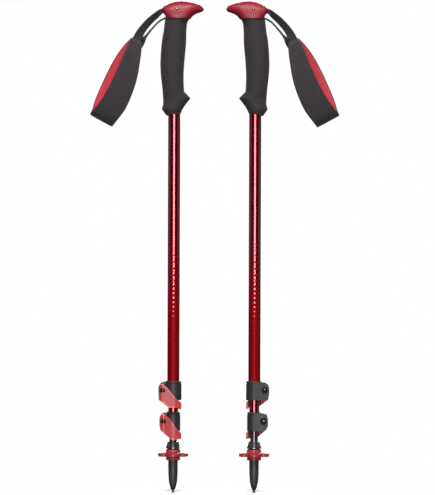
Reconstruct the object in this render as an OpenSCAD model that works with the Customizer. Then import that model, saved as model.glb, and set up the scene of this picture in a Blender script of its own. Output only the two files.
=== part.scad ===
// A pair of three-section trekking poles with lever clamps, pushed together and standing
// side by side on their tips. Millimetres, +Z up. The origin is on the ground, midway
// between the two pole axes. The poles' beaks point at each other, along +X and -X.

/* [Pair] */
// Distance between the axes of the two poles
pole_gap = 108; // [90:1:220]

/* [Tubes] */
// Outer diameter of the upper tube; the inner tubes are worked out from it
upper_d = 16; // [14:0.5:22]
// Wall of all three tubes
tube_wall = 0.8; // [0.6:0.1:1.1]
// Wall of the plastic liner between one tube and the next
liner_wall = 0.57; // [0.4:0.01:1.2]
// Length of the upper tube
upper_len = 502; // [400:1:620]
// Length of the saw cuts in the clamped end of an outer tube
cut_len = 24; // [16:1:40]
// Free travel left at the end of each telescope stage
stop_gap = 0.5; // [0.3:0.1:5]

/* [Clamps] */
// Height of the lower clamp's bottom face above the ground
lower_clamp_z = 82; // [75:1:90]
// Height of the upper clamp's bottom face above the ground
upper_clamp_z = 123.2; // [120:0.1:150]
// Height of a clamp collar
clamp_h = 25.5; // [22:0.5:30]
// Wall of a clamp collar
clamp_wall = 2.85; // [2.2:0.05:4]
// Distance from the collar's outside to the bolt's axis
bolt_offset = 3; // [2.5:0.1:4.5]
// Diameter of the clamp bolt
bolt_d = 3.8; // [3:0.1:4.4]
// Diameter of the clamp bolt's head
bolt_head_d = 6.8; // [5.6:0.1:7.4]
// Diameter of the barrel nut that the lever turns on
barrel_d = 6; // [5:0.1:6.6]
// Thickness of the lever's plate
lever_t = 2.6; // [2:0.1:3.5]

/* [Grip] */
// Length of the foam grip
grip_len = 129; // [110:1:160]
// Depth of the grip at its thickest, seen from the side of the pole
grip_depth = 29; // [26:0.5:34]
// Width of the cap
cap_w = 30; // [27:0.5:34]

/* [Strap] */
// Width of the webbing that comes out of the cap
webbing_w = 12; // [9:0.5:14]
// Thickness of the webbing
webbing_t = 1.8; // [1.2:0.1:2.2]
// Width of the padded band at the bottom of the loop
band_w = 34; // [28:1:40]
// Thickness of the band's outer cloth
band_t = 1.8; // [1.2:0.1:2.4]
// Thickness of the band's soft lining
lining_t = 1.5; // [1:0.1:1.6]
// Diameter of the pin that holds the strap in the cap
pin_d = 3.6; // [3:0.1:4.2]

/* [Tip] */
// Diameter of the basket
basket_d = 40; // [36:1:70]
// Number of lobes round the basket
basket_lobes = 4; // [3:1:6]
// Outer diameter of the tip's body where the basket sits
tip_d = 13; // [12.4:0.1:15]
// Height of the metal crown that stands on the ground
spike_h = 2.5; // [1.5:0.1:4]

/* [Hidden] */
$fn = 64;
eps = 0.01;
slide_gap = 0.08;   // radial clearance of a running fit
bond_gap = 0.05;    // radial clearance of a glued or pressed fit
free_gap = 0.4;     // clearance between pieces that pass each other

upper_r = upper_d / 2;
upper_bore = upper_r - tube_wall;
tube_step = tube_wall + bond_gap + liner_wall + slide_gap;
middle_r = upper_r - tube_step;
middle_bore = middle_r - tube_wall;
lower_r = middle_r - tube_step;
lower_bore = lower_r - tube_wall;
tip_w = max(tip_d, 2 * (lower_r + bond_gap + 1.3));  // the tip keeps a wall round a thick tube

// Clamp: a split collar with a bolt across its ears
lip_h = 1.5;                       // inner lip under the tube's end
chamfer = 1.6;
slit_w = 2;
front_ear_t = 3;
rear_ear_t = 8.5;
eye_r = 5.3;                       // round end of the lever, turning on the barrel nut
ear_reach = 5.3;                   // ear beyond the bolt's axis
bolt_rise = 13.3;                  // bolt's axis above the collar's bottom face
pivot_y = -(slit_w / 2 + front_ear_t + free_gap + eye_r);
pocket_r = bolt_head_d / 2 + 1.3;
pocket_depth = 4;
washer_t = 0.8;
barrel_len = 13;
tab_x = 10.7;                      // outside of the lever's finger tab
tab_t = 2.5;
tab_back = 2;                      // how far the tab wraps behind the pole's axis
upper_collar_r = upper_r + bond_gap + clamp_wall;
lower_collar_r = middle_r + bond_gap + clamp_wall;

// Heights, from the ground up
cone_h = 9.3;
cone_z = 58.7;                     // underside of the cone collar
tip_top = cone_z - free_gap;
shaft_seat = 24;                   // end of the lower tube inside the tip
basket_hub_z = 43.2;
basket_disc_z = 48.6;
basket_disc_t = 5;
upper_bottom = upper_clamp_z + lip_h;
upper_top = upper_bottom + upper_len;
cap_z = upper_top + 4.3;           // line between the cap and the foam
spigot_len = 27;
spigot_z = cap_z - spigot_len;
bush_len = 14;                     // guided part of the plug on each inner tube
bush_plug = 18;                    // part of the plug inside its tube
middle_top = spigot_z - stop_gap - bush_len;
middle_bottom = lower_clamp_z + lip_h;
lower_top = middle_top - bush_plug - stop_gap - bush_len;

// Strap pin and the point where the strap starts to hang, from the axis and cap_z
pin_x = 3.2;
pin_rise = 12.5;
exit_x = -18.2;
exit_rise = 10.4;
under_exit = -1.9;
band_scale = band_w / 34;

SIDES = ["left", "right"];
PIECES = [
    "cap", "grip_foam", "strap_pin", "strap_wedge", "strap_anchor",
    "strap_webbing", "strap_band", "strap_lining",
    "upper_shaft", "upper_liner", "upper_clamp", "upper_lever",
    "upper_barrel_nut", "upper_bolt", "upper_washer",
    "middle_shaft", "middle_bush", "lower_liner", "lower_clamp", "lower_lever",
    "lower_barrel_nut", "lower_bolt", "lower_washer",
    "lower_shaft", "lower_bush", "tip_collar", "basket", "tip_body", "carbide_tip"
];

// ---------- curves and skins ----------

function blend4(a, b, c, d, t) =
    0.5 * (2 * b + (c - a) * t + (2 * a - 5 * b + 4 * c - d) * t * t
        + (3 * b - a - 3 * c + d) * t * t * t);

// A smooth curve through the rows of a list; u runs from 0 to the last row's number
function along(rows, u) =
    let (last = len(rows) - 1, i = min(floor(u), last - 1))
    blend4(rows[max(i - 1, 0)], rows[i], rows[i + 1], rows[min(i + 2, last)], u - i);

function unit(v) = v / norm(v);

// Points along an arc of a circle
function arc(x, y, r, from, to) = [for (i = [0 : 12]) let (a = from + (to - from) * i / 12)
    [x + r * cos(a), y + r * sin(a)]];

function head3(row) = [row[0], row[1], row[2]];

// A closed skin over rings of points that all have the same number of points
module skin(rings) {
    n = len(rings[0]);
    last = len(rings) - 1;
    points = [for (ring = rings) each ring];
    sides = [for (i = [0 : last - 1]) for (j = [0 : n - 1])
        let (a = i * n + j, b = i * n + (j + 1) % n)
        each [[a, a + n, b + n], [a, b + n, b]]];
    first_cap = [[for (j = [0 : n - 1]) j]];
    last_cap = [[for (j = [n - 1 : -1 : 0]) last * n + j]];
    polyhedron(points, concat(sides, first_cap, last_cap));
}

// A flat strip that follows rows of [x, y, z, ...]: width, twist and layer come from functions
function tangent(rows, u) =
    let (last = len(rows) - 1, step = 0.05)
    unit(head3(along(rows, min(u + step, last))) - head3(along(rows, max(u - step, 0))));

// The strip's four corners: c is its centre line, w its width direction, n its face
function strip_ring(c, w, n, width, inner, outer) = [
    c + w * width / 2 + n * outer, c - w * width / 2 + n * outer,
    c - w * width / 2 + n * inner, c + w * width / 2 + n * inner
];

// ---------- placing the poles ----------

module left_pole() translate([-pole_gap / 2, 0, 0]) children();
module right_pole() translate([pole_gap / 2, 0, 0]) rotate([0, 0, 180]) children();
// The straps are a mirrored pair, so that both open towards the same side
module right_strap() translate([pole_gap / 2, 0, 0]) mirror([1, 0, 0]) children();

module pipe(r_out, r_in, z, len) {
    translate([0, 0, z]) difference() {
        cylinder(r = r_out, h = len);
        translate([0, 0, -eps]) cylinder(r = r_in, h = len + 2 * eps);
    }
}

// ---------- tubes ----------

// An outer tube's clamped end is sawn crosswise so that the clamp can squeeze it
module sawn_tube(r, z, len) {
    difference() {
        pipe(r, r - tube_wall, z, len);
        translate([-0.6, -r - 1, z - eps]) cube([1.2, 2 * r + 2, cut_len]);
    }
}

module upper_shaft() color([0.42, 0.05, 0.08]) sawn_tube(upper_r, upper_bottom, upper_len);
module middle_shaft() color([0.42, 0.05, 0.08])
    sawn_tube(middle_r, middle_bottom, middle_top - middle_bottom);
module lower_shaft() color([0.08, 0.08, 0.08])
    pipe(lower_r, lower_bore, shaft_seat, lower_top - shaft_seat);

// A split plastic sleeve fills the gap between an outer tube's mouth and the tube inside it
module liner(bore, inner_r, z) {
    difference() {
        pipe(bore - bond_gap, inner_r + slide_gap, z, cut_len + 6);
        translate([0, -0.5, z - eps]) cube([bore + 1, 1, cut_len + 7]);
    }
}

module upper_liner() color([0.1, 0.1, 0.1]) liner(upper_bore, middle_r, upper_bottom);
module lower_liner() color([0.1, 0.1, 0.1]) liner(middle_bore, lower_r, middle_bottom);

// A guide bush plugs the top of an inner tube and runs in the bore of the tube round it
module bush(outer_bore, own_bore, z) {
    translate([0, 0, z]) {
        translate([0, 0, -bush_plug]) cylinder(r = own_bore - bond_gap, h = bush_plug);
        cylinder(r = outer_bore - slide_gap, h = bush_len - 1);
        translate([0, 0, bush_len - 1])
            cylinder(r1 = outer_bore - slide_gap, r2 = outer_bore - slide_gap - 1, h = 1);
    }
}

module middle_bush() color([0.12, 0.12, 0.12]) bush(upper_bore, middle_bore, middle_top);
module lower_bush() color([0.12, 0.12, 0.12]) bush(middle_bore, lower_bore, lower_top);

// ---------- clamps ----------

module along_y(x, y, z, r, len) translate([x, y, z]) rotate([-90, 0, 0]) cylinder(r = r, h = len);

// The ears seen from the front: tall beside the collar, cut back at the top and bottom corners
module ear_outline(collar_r, bolt_x) {
    end_x = -bolt_x - ear_reach;
    polygon([
        [-collar_r + 3, clamp_h - chamfer], [-bolt_x + 1, clamp_h - chamfer],
        [end_x + 0.6, clamp_h - 4], [end_x, clamp_h - 14],
        [end_x + 0.9, 3.5], [end_x + 3.6, 0.3], [-collar_r + 3, 0.3]
    ]);
}

module clamp(z, tube_r, inner_r) {
    collar_r = tube_r + bond_gap + clamp_wall;
    bolt_x = collar_r + bolt_offset;
    ears_y = -slit_w / 2 - front_ear_t;
    ears_t = front_ear_t + slit_w + rear_ear_t;
    translate([0, 0, z]) difference() {
        union() {
            cylinder(r = collar_r, h = clamp_h - chamfer);
            translate([0, 0, clamp_h - chamfer])
                cylinder(r1 = collar_r, r2 = collar_r - chamfer, h = chamfer);
            translate([0, ears_y + ears_t, 0]) rotate([90, 0, 0])
                linear_extrude(ears_t) ear_outline(collar_r, bolt_x);
        }
        translate([0, 0, lip_h]) cylinder(r = tube_r + bond_gap, h = clamp_h);
        translate([0, 0, -eps]) cylinder(r = inner_r + slide_gap, h = clamp_h);
        translate([-bolt_x - ear_reach - 1, -slit_w / 2, -1])
            cube([bolt_x + ear_reach + 1 - inner_r / 2, slit_w, clamp_h + 2]);
        along_y(-bolt_x, ears_y - 1, bolt_rise, bolt_d / 2 + bond_gap, ears_t + 2);
        along_y(-bolt_x, ears_y + ears_t - pocket_depth, bolt_rise, pocket_r, pocket_depth + 1);
    }
}

module upper_clamp() color([0.12, 0.12, 0.13]) clamp(upper_clamp_z, upper_r, middle_r);
module lower_clamp() color([0.12, 0.12, 0.13]) clamp(lower_clamp_z, middle_r, lower_r);

function head_seat_y() = slit_w / 2 + rear_ear_t - pocket_depth;

module clamp_bolt(z, collar_r) {
    bolt_x = collar_r + bolt_offset;
    head_h = 2.4;
    translate([-bolt_x, 0, z + bolt_rise]) difference() {
        union() {
            along_y(0, pivot_y - 1.5, 0, bolt_d / 2, head_seat_y() + washer_t - pivot_y + 1.5);
            along_y(0, head_seat_y() + washer_t, 0, bolt_head_d / 2, head_h * 0.6);
            translate([0, head_seat_y() + washer_t + head_h * 0.6, 0]) rotate([-90, 0, 0])
                cylinder(r1 = bolt_head_d / 2, r2 = bolt_head_d / 2 - 1, h = head_h * 0.4);
        }
        for (turn = [0, 90]) translate([0, head_seat_y() + washer_t + head_h, 0])
            rotate([0, turn, 0]) cube([4, 2.4, 0.9], center = true);
    }
}

module upper_bolt() color([0.75, 0.75, 0.77]) clamp_bolt(upper_clamp_z, upper_collar_r);
module lower_bolt() color([0.75, 0.75, 0.77]) clamp_bolt(lower_clamp_z, lower_collar_r);

module washer(z, collar_r) {
    bolt_x = collar_r + bolt_offset;
    difference() {
        along_y(-bolt_x, head_seat_y(), z + bolt_rise, bolt_head_d / 2 + 0.7, washer_t);
        along_y(-bolt_x, head_seat_y() - 1, z + bolt_rise, bolt_d / 2 + bond_gap, washer_t + 2);
    }
}

module upper_washer() color([0.6, 0.6, 0.62]) washer(upper_clamp_z, upper_collar_r);
module lower_washer() color([0.6, 0.6, 0.62]) washer(lower_clamp_z, lower_collar_r);

// The barrel nut stands upright in the lever's eye, and the bolt screws into it
module barrel_nut(z, collar_r) {
    bolt_x = collar_r + bolt_offset;
    difference() {
        translate([-bolt_x, pivot_y, z + bolt_rise - barrel_len / 2])
            cylinder(d = barrel_d, h = barrel_len);
        along_y(-bolt_x, pivot_y - barrel_d, z + bolt_rise, bolt_d / 2 + bond_gap, 2 * barrel_d);
    }
}

module upper_barrel_nut() color([0.2, 0.2, 0.2]) barrel_nut(upper_clamp_z, upper_collar_r);
module lower_barrel_nut() color([0.2, 0.2, 0.2]) barrel_nut(lower_clamp_z, lower_collar_r);

// Lever outlines seen from the front, measured from the bolt's axis; reach is the tab's edge
module upper_lever_outline(reach) {
    polygon([
        [-eye_r - 0.1, 8], [1, 8], [7, 2.4], [12.4, -4.4], [reach - 6.7, -11.2], [reach - 4, -13.3],
        [reach, -17.3], [reach, -24.8], [reach - 3.6, -25.2], [reach - 4, -22.8],
        [9.1, -23.1], [6.3, -21.5], [-eye_r - 0.1, -12.5]
    ]);
}

module lower_lever_outline(reach) {
    polygon(concat(
        [[-eye_r - 0.1, 7], [-2.8, 9.6], [2.3, 8], [8.6, 3], [12.9, -3.8], [reach - 2.7, -13.7],
            [reach, -16.7], [reach, -23.8], [reach - 4, -23.8]],
        arc(13, -18.6, 6.3, -60, -140),
        [[-4.5, -11.3], [-eye_r - 0.1, -5]]
    ));
}

// The lever from above: round eye, plate in front of the collar, tab down the far side
module lever_plan(collar_r, bolt_x) {
    outer_r = collar_r + free_gap + lever_t;
    difference() {
        union() {
            translate([-bolt_x, pivot_y]) circle(r = eye_r);
            intersection() {
                circle(r = outer_r);
                translate([-bolt_x, -outer_r]) square([bolt_x + tab_x, outer_r - 6]);
            }
            polygon([
                [-bolt_x, pivot_y - eye_r], [-2, -outer_r + 0.1],
                [-2, -collar_r], [-bolt_x + 2, pivot_y + 2]
            ]);
        }
        circle(r = collar_r + free_gap);
    }
    inside = tab_x - tab_t;
    polygon([
        [inside, 0.4 - sqrt(outer_r * outer_r - inside * inside)],
        [tab_x, 0.4 - sqrt(outer_r * outer_r - tab_x * tab_x)],
        [tab_x, tab_back], [inside, tab_back]
    ]);
}

module lever(z, collar_r) {
    bolt_x = collar_r + bolt_offset;
    bolt_room = bolt_d / 2 + free_gap;
    translate([0, 0, z + bolt_rise]) difference() {
        intersection() {
            translate([0, 0, -30]) linear_extrude(45) lever_plan(collar_r, bolt_x);
            translate([-bolt_x, 10, 0]) rotate([90, 0, 0]) linear_extrude(40) children();
        }
        translate([-bolt_x, pivot_y, -barrel_len / 2 - free_gap])
            cylinder(d = barrel_d + 2 * slide_gap, h = barrel_len + 2 * free_gap);
        // Slot that lets the lever turn past the bolt
        translate([-bolt_x, pivot_y, -bolt_room]) linear_extrude(2 * bolt_room) polygon([
            [bolt_room, 0], [bolt_room, eye_r + 2], [-eye_r - 3, eye_r + 2],
            [-eye_r - 3, -5.4], [0, -bolt_room - 0.3]
        ]);
        along_y(-bolt_x, pivot_y - eye_r - 1, 0, 2.9, eye_r + 1);
    }
}

module upper_lever() color([0.72, 0.16, 0.18])
    lever(upper_clamp_z, upper_collar_r)
        upper_lever_outline(tab_x + upper_collar_r + bolt_offset);
module lower_lever() color([0.72, 0.16, 0.18])
    lever(lower_clamp_z, lower_collar_r)
        lower_lever_outline(tab_x + lower_collar_r + bolt_offset);

// ---------- grip and cap ----------

// Foam sections, bottom to top: share of the length, reach behind and in front, depth share
GRIP = [
    [0.000, 10.2, 8.3, 0.72], [0.040, 14.6, 11.2, 0.86], [0.085, 16.4, 13.4, 0.90],
    [0.135, 15.5, 18.6, 0.88], [0.170, 15.5, 21.6, 0.87], [0.210, 15.7, 16.6, 0.88],
    [0.260, 16.8, 13.2, 0.91], [0.400, 18.3, 12.5, 0.97], [0.540, 19.0, 13.3, 1.00],
    [0.740, 17.4, 15.6, 0.99], [0.900, 15.0, 16.8, 0.95], [1.000, 13.9, 18.4, 0.94]
];

module grip_foam() color([0.13, 0.12, 0.12]) {
    rings = 30;
    corners = 24;
    slant = 3;                     // the bottom rim rises towards the front
    difference() {
        skin([for (i = [0 : rings])
            let (
                row = along(GRIP, (len(GRIP) - 1) * i / rings),
                centre = (row[2] - row[1]) / 2,
                reach = (row[2] + row[1]) / 2,
                z = cap_z - grip_len + grip_len * row[0],
                rise = slant * pow(1 - min(max(row[0], 0), 1), 8)
            )
            [for (k = [0 : corners - 1]) let (a = 360 * k / corners)
                [centre + reach * cos(a), row[3] * grip_depth / 2 * sin(a),
                    z + rise * (1 + cos(a)) / 2]]]);
        translate([0, 0, cap_z - grip_len - 1]) cylinder(r = upper_r + bond_gap, h = grip_len + 2);
        webbing_slot();
    }
}

// Cap sections, back to beak: x, height of underside and top over the cap line, half width share
CAP = [
    [-16.6, 8.2, 13, 0.12], [-14.6, 2, 16.4, 0.62], [-11, -7, 19.0, 0.84], [-4, -12, 22.2, 0.97],
    [5, -14, 24.2, 1.00], [14, -11, 24.2, 0.95], [22, 1, 23.2, 0.84], [29.5, 8.2, 19.6, 0.66],
    [35, 10.4, 16.4, 0.46], [38.8, 12.2, 13.6, 0.14]
];

module cap() color([0.62, 0.13, 0.17]) {
    rings = 22;
    corners = 24;
    difference() {
        union() {
            difference() {
                skin([for (i = [0 : rings])
                    let (
                        row = along(CAP, (len(CAP) - 1) * i / rings),
                        middle = (row[1] + row[2]) / 2,
                        tall = (row[2] - row[1]) / 2
                    )
                    [for (k = [0 : corners - 1]) let (a = 360 * k / corners)
                        [row[0], row[3] * cap_w / 2 * cos(a), cap_z + middle + tall * sin(a)]]]);
                translate([-50, -50, cap_z - 60]) cube([100, 100, 60]);
            }
            translate([0, 0, spigot_z]) cylinder(r = upper_bore - bond_gap, h = spigot_len + 1);
        }
        webbing_slot();
        along_y(pin_x, -cap_w, cap_z + pin_rise, pin_d / 2 + bond_gap, 2 * cap_w);
        wedge_block(free_gap / 2);
    }
}

module strap_pin() color([0.3, 0.3, 0.3])
    along_y(pin_x, -cap_w / 2 + 0.8, cap_z + pin_rise, pin_d / 2, cap_w - 1.6);

// A sliding wedge above the webbing locks the strap's length
module wedge_block(grow) {
    width = webbing_w + 2 * grow;
    translate([0, width / 2, cap_z]) rotate([90, 0, 0]) linear_extrude(width) polygon([
        [-9 - grow, exit_rise + 3.4 - grow], [-2.6 + grow, exit_rise + 4.8 - grow],
        [-2.6 + grow, exit_rise + 8.3 + grow], [-9 - grow, exit_rise + 6.1 + grow]
    ]);
}

module strap_wedge() color([0.1, 0.1, 0.1]) wedge_block(0);

// The webbing's way through the cap: in at the back, round the pin, out under the cap
module webbing_path(thickness, end_x) {
    loop_r = pin_d / 2 + bond_gap + webbing_t / 2;
    half = thickness / 2;
    from_top = [pin_x + loop_r * cos(98), pin_rise + loop_r * sin(98)];
    from_low = [pin_x + loop_r * cos(72), pin_rise - loop_r * sin(72)];
    top_z = exit_rise + (from_top[1] - exit_rise) * (end_x - exit_x) / (from_top[0] - exit_x);
    low_z = under_exit + (from_low[1] - under_exit) * (end_x - exit_x) / (from_low[0] - exit_x);
    polygon(concat(
        [[end_x, top_z + half]],
        arc(pin_x, pin_rise, loop_r + half, 98, -72),
        [[end_x, low_z - half], [end_x, low_z + half]],
        arc(pin_x, pin_rise, loop_r - half, -72, 98),
        [[end_x, top_z - half]]
    ));
}

module webbing_slot() {
    width = webbing_w + 1;
    translate([0, width / 2, cap_z]) rotate([90, 0, 0])
        linear_extrude(width) webbing_path(webbing_t + 0.6, -26);
}

module strap_anchor() color([0.16, 0.15, 0.16])
    translate([0, webbing_w / 2, cap_z]) rotate([90, 0, 0])
        linear_extrude(webbing_w) webbing_path(webbing_t, -12);

// ---------- strap ----------

// Loop of the padded band, from the stitched joint down: drop below the cap line, x of the
// near and the far run, half the gap between them, width at a 34 mm band, tilt
LOOP = [
    [27.8, -50.5, -52.0, 1.9, 17, 33], [40, -53.0, -59.5, 7, 20, 23],
    [54.5, -56.8, -67.8, 11, 24, 20], [74.5, -62.6, -76.0, 14, 29, 20.5],
    [94.5, -70.2, -83.6, 14.5, 32, 23], [114.5, -80.6, -90.8, 12.2, 34, 26.5],
    [129.5, -92.2, -95.2, 7.5, 34, 28.5]
];
FOLD = [134.6, -96.9, 34, 28.7];

LOOP_ROWS = concat(
    [for (s = LOOP) [s[1], -s[3], cap_z - s[0], s[4] * band_scale, s[5]]],
    [[FOLD[1], 0, cap_z - FOLD[0], FOLD[2] * band_scale, FOLD[3]]],
    [for (i = [len(LOOP) - 1 : -1 : 0]) let (s = LOOP[i])
        [s[2], s[3], cap_z - s[0], s[4] * band_scale, s[5]]]
);

module loop_layer(inner, outer) {
    steps = 42;
    last = len(LOOP_ROWS) - 1;
    skin([for (i = [0 : steps])
        let (
            u = last * i / steps,
            row = along(LOOP_ROWS, u),
            w = [cos(row[4]), 0, -sin(row[4])],
            n = unit(cross(tangent(LOOP_ROWS, u), w))
        )
        strip_ring(head3(row), w, n, row[3], inner, outer)]);
}

module strap_band() color([0.17, 0.16, 0.17]) loop_layer(0, band_t);
module strap_lining() color([0.72, 0.16, 0.18]) loop_layer(-lining_t, 0);

// Webbing strands from the cap to the joint: x, y, height over the cap line, twist out of flat
UPPER_STRAND = [
    [exit_x, 0, exit_rise - 0.4, 66], [-23.4, -0.2, 5.6, 58], [-33, -1, -2.8, 44],
    [-43, -2, -14.6, 28], [-50.3, -2.8, -27.4, 4]
];
LOWER_STRAND = [
    [-19.6, 0, -2.6, 90], [-24.2, 0.1, -6.8, 90], [-32.6, 0.6, -15.2, 84],
    [-39, 1.4, -22.4, 60], [-46.5, 2.8, -27.6, 8]
];

module strand(rows) {
    steps = 16;
    last = len(rows) - 1;
    raised = [for (row = rows) row + [0, 0, cap_z, 0]];
    skin([for (i = [0 : steps])
        let (
            u = last * i / steps,
            row = along(raised, u),
            t = tangent(raised, u),
            flat = unit([-t[2], 0, t[0]]),
            w = cos(row[3]) * flat + [0, sin(row[3]), 0],
            n = unit(cross(t, w))
        )
        strip_ring(head3(row), w, n, webbing_w, -webbing_t / 2, webbing_t / 2)]);
}

module strap_webbing() color([0.16, 0.15, 0.16]) {
    strand(UPPER_STRAND);
    strand(LOWER_STRAND);
}

// ---------- tip ----------

module tip_collar() color([0.06, 0.06, 0.06]) {
    translate([0, 0, cone_z]) difference() {
        union() {
            cylinder(r = tip_w / 2 + 3, h = 2);
            translate([0, 0, 2]) cylinder(r1 = tip_w / 2 + 3, r2 = tip_w / 2 + 1.3, h = cone_h - 2);
        }
        translate([0, 0, -eps]) cylinder(r = lower_r + bond_gap, h = cone_h + 1);
    }
}

module basket() color([0.68, 0.14, 0.17]) {
    hub_r = tip_w / 2 + 3.6;
    lobe_r = 7.4;
    top_z = cone_z - 0.6;
    difference() {
        union() {
            translate([0, 0, basket_disc_z]) {
                cylinder(r = hub_r + 1.2, h = basket_disc_t);
                for (i = [0 : basket_lobes - 1]) rotate([0, 0, 360 * i / basket_lobes])
                    translate([basket_d / 2 - lobe_r, 0, 0]) {
                        cylinder(r = lobe_r, h = basket_disc_t - 1.6);
                        translate([0, 0, basket_disc_t - 1.6])
                            cylinder(r1 = lobe_r, r2 = lobe_r - 2, h = 1.6);
                    }
            }
            translate([0, 0, basket_hub_z])
                cylinder(r1 = hub_r - 0.8, r2 = hub_r, h = basket_disc_z - basket_hub_z);
            translate([0, 0, basket_disc_z + basket_disc_t])
                cylinder(r1 = hub_r, r2 = hub_r - 2, h = top_z - basket_disc_z - basket_disc_t);
        }
        translate([0, 0, basket_hub_z - 1]) cylinder(d = tip_w + 2 * bond_gap, h = 30);
    }
}

// The tip's body: round nose, slow taper, thread ribs under the basket, socket for the tube
module tip_body() color([0.13, 0.13, 0.14]) {
    r = tip_w / 2;
    nose_z = spike_h + 0.5;
    rib_z = 34;
    rib_pitch = 2.6;
    difference() {
        rotate_extrude() polygon([
            [0, nose_z], [1.9, nose_z], [3.0, nose_z + 2.1], [r - 2.1, nose_z + 4.9],
            [r - 1.5, nose_z + 7.6], [r - 0.8, nose_z + 14], [r - 0.3, nose_z + 22],
            [r, rib_z + 6], [r, tip_top], [0, tip_top]
        ]);
        translate([0, 0, shaft_seat]) cylinder(r = lower_r + bond_gap, h = tip_top);
        translate([0, 0, -1]) cylinder(r = 1.5 + bond_gap, h = 13);
    }
    for (i = [0 : 2]) translate([0, 0, rib_z + i * rib_pitch]) difference() {
        cylinder(r = r + 0.35, h = 1.1);
        translate([0, 0, -1]) cylinder(r = r - 0.6, h = 4);
    }
}

// Hard-metal point with a hollow crown that bites into rock
module carbide_tip() color([0.7, 0.7, 0.7]) {
    crown_r = 1.9;
    difference() {
        union() {
            cylinder(r1 = crown_r, r2 = 1.1, h = spike_h);
            translate([0, 0, spike_h - eps]) cylinder(r = 1.5, h = 9);
        }
        translate([0, 0, -3.2]) sphere(r = 3.5);
    }
}

left_pole() cap();  // left_cap
left_pole() grip_foam();  // left_grip_foam
left_pole() strap_pin();  // left_strap_pin
left_pole() strap_wedge();  // left_strap_wedge
left_pole() strap_anchor();  // left_strap_anchor
left_pole() strap_webbing();  // left_strap_webbing
left_pole() strap_band();  // left_strap_band
left_pole() strap_lining();  // left_strap_lining
left_pole() upper_shaft();  // left_upper_shaft
left_pole() upper_liner();  // left_upper_liner
left_pole() upper_clamp();  // left_upper_clamp
left_pole() upper_lever();  // left_upper_lever
left_pole() upper_barrel_nut();  // left_upper_barrel_nut
left_pole() upper_bolt();  // left_upper_bolt
left_pole() upper_washer();  // left_upper_washer
left_pole() middle_shaft();  // left_middle_shaft
left_pole() middle_bush();  // left_middle_bush
left_pole() lower_liner();  // left_lower_liner
left_pole() lower_clamp();  // left_lower_clamp
left_pole() lower_lever();  // left_lower_lever
left_pole() lower_barrel_nut();  // left_lower_barrel_nut
left_pole() lower_bolt();  // left_lower_bolt
left_pole() lower_washer();  // left_lower_washer
left_pole() lower_shaft();  // left_lower_shaft
left_pole() lower_bush();  // left_lower_bush
left_pole() tip_collar();  // left_tip_collar
left_pole() basket();  // left_basket
left_pole() tip_body();  // left_tip_body
left_pole() carbide_tip();  // left_carbide_tip

right_pole() cap();  // right_cap
right_pole() grip_foam();  // right_grip_foam
right_pole() strap_pin();  // right_strap_pin
right_pole() strap_wedge();  // right_strap_wedge
right_pole() strap_anchor();  // right_strap_anchor
right_strap() strap_webbing();  // right_strap_webbing
right_strap() strap_band();  // right_strap_band
right_strap() strap_lining();  // right_strap_lining
right_pole() upper_shaft();  // right_upper_shaft
right_pole() upper_liner();  // right_upper_liner
right_pole() upper_clamp();  // right_upper_clamp
right_pole() upper_lever();  // right_upper_lever
right_pole() upper_barrel_nut();  // right_upper_barrel_nut
right_pole() upper_bolt();  // right_upper_bolt
right_pole() upper_washer();  // right_upper_washer
right_pole() middle_shaft();  // right_middle_shaft
right_pole() middle_bush();  // right_middle_bush
right_pole() lower_liner();  // right_lower_liner
right_pole() lower_clamp();  // right_lower_clamp
right_pole() lower_lever();  // right_lower_lever
right_pole() lower_barrel_nut();  // right_lower_barrel_nut
right_pole() lower_bolt();  // right_lower_bolt
right_pole() lower_washer();  // right_lower_washer
right_pole() lower_shaft();  // right_lower_shaft
right_pole() lower_bush();  // right_lower_bush
right_pole() tip_collar();  // right_tip_collar
right_pole() basket();  // right_basket
right_pole() tip_body();  // right_tip_body
right_pole() carbide_tip();  // right_carbide_tip
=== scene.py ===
"""A pair of telescoping trekking poles with flick-lever clamps and padded wrist loops."""

import math

import bmesh
import bpy
from mathutils import Matrix, Vector


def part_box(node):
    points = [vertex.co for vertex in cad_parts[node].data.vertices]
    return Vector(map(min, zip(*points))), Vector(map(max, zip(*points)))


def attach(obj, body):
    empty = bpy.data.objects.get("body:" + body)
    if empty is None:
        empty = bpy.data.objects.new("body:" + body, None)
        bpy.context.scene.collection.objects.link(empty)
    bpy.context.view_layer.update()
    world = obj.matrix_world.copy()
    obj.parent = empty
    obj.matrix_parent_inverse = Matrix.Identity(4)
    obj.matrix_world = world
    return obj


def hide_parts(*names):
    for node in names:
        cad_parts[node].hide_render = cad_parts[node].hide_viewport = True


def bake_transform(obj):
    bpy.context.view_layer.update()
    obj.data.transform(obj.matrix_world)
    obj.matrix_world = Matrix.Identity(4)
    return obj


bl_info = {
    "name": "Trekking Poles",
    "version": (1, 0, 0),
    "blender": (4, 5, 0),
    "location": "View3D > Sidebar > Trekking Poles",
    "description": "Builds a pair of telescoping trekking poles on their packed frame",
    "category": "Add Mesh",
}

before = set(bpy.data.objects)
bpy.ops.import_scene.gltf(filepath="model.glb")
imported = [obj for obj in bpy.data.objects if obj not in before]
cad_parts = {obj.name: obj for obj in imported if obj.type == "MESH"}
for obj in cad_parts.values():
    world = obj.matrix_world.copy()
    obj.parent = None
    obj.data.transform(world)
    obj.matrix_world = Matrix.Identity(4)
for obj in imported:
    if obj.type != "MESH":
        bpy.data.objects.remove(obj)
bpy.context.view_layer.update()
SIDES = ("left", "right")
MM = 0.001


def span(node):
    """A frame node's lowest and highest corners in millimetres."""
    low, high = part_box(node)
    return [v / MM for v in low], [v / MM for v in high]


def half_width(node):
    low, high = span(node)
    return (high[0] - low[0]) / 2


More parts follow.
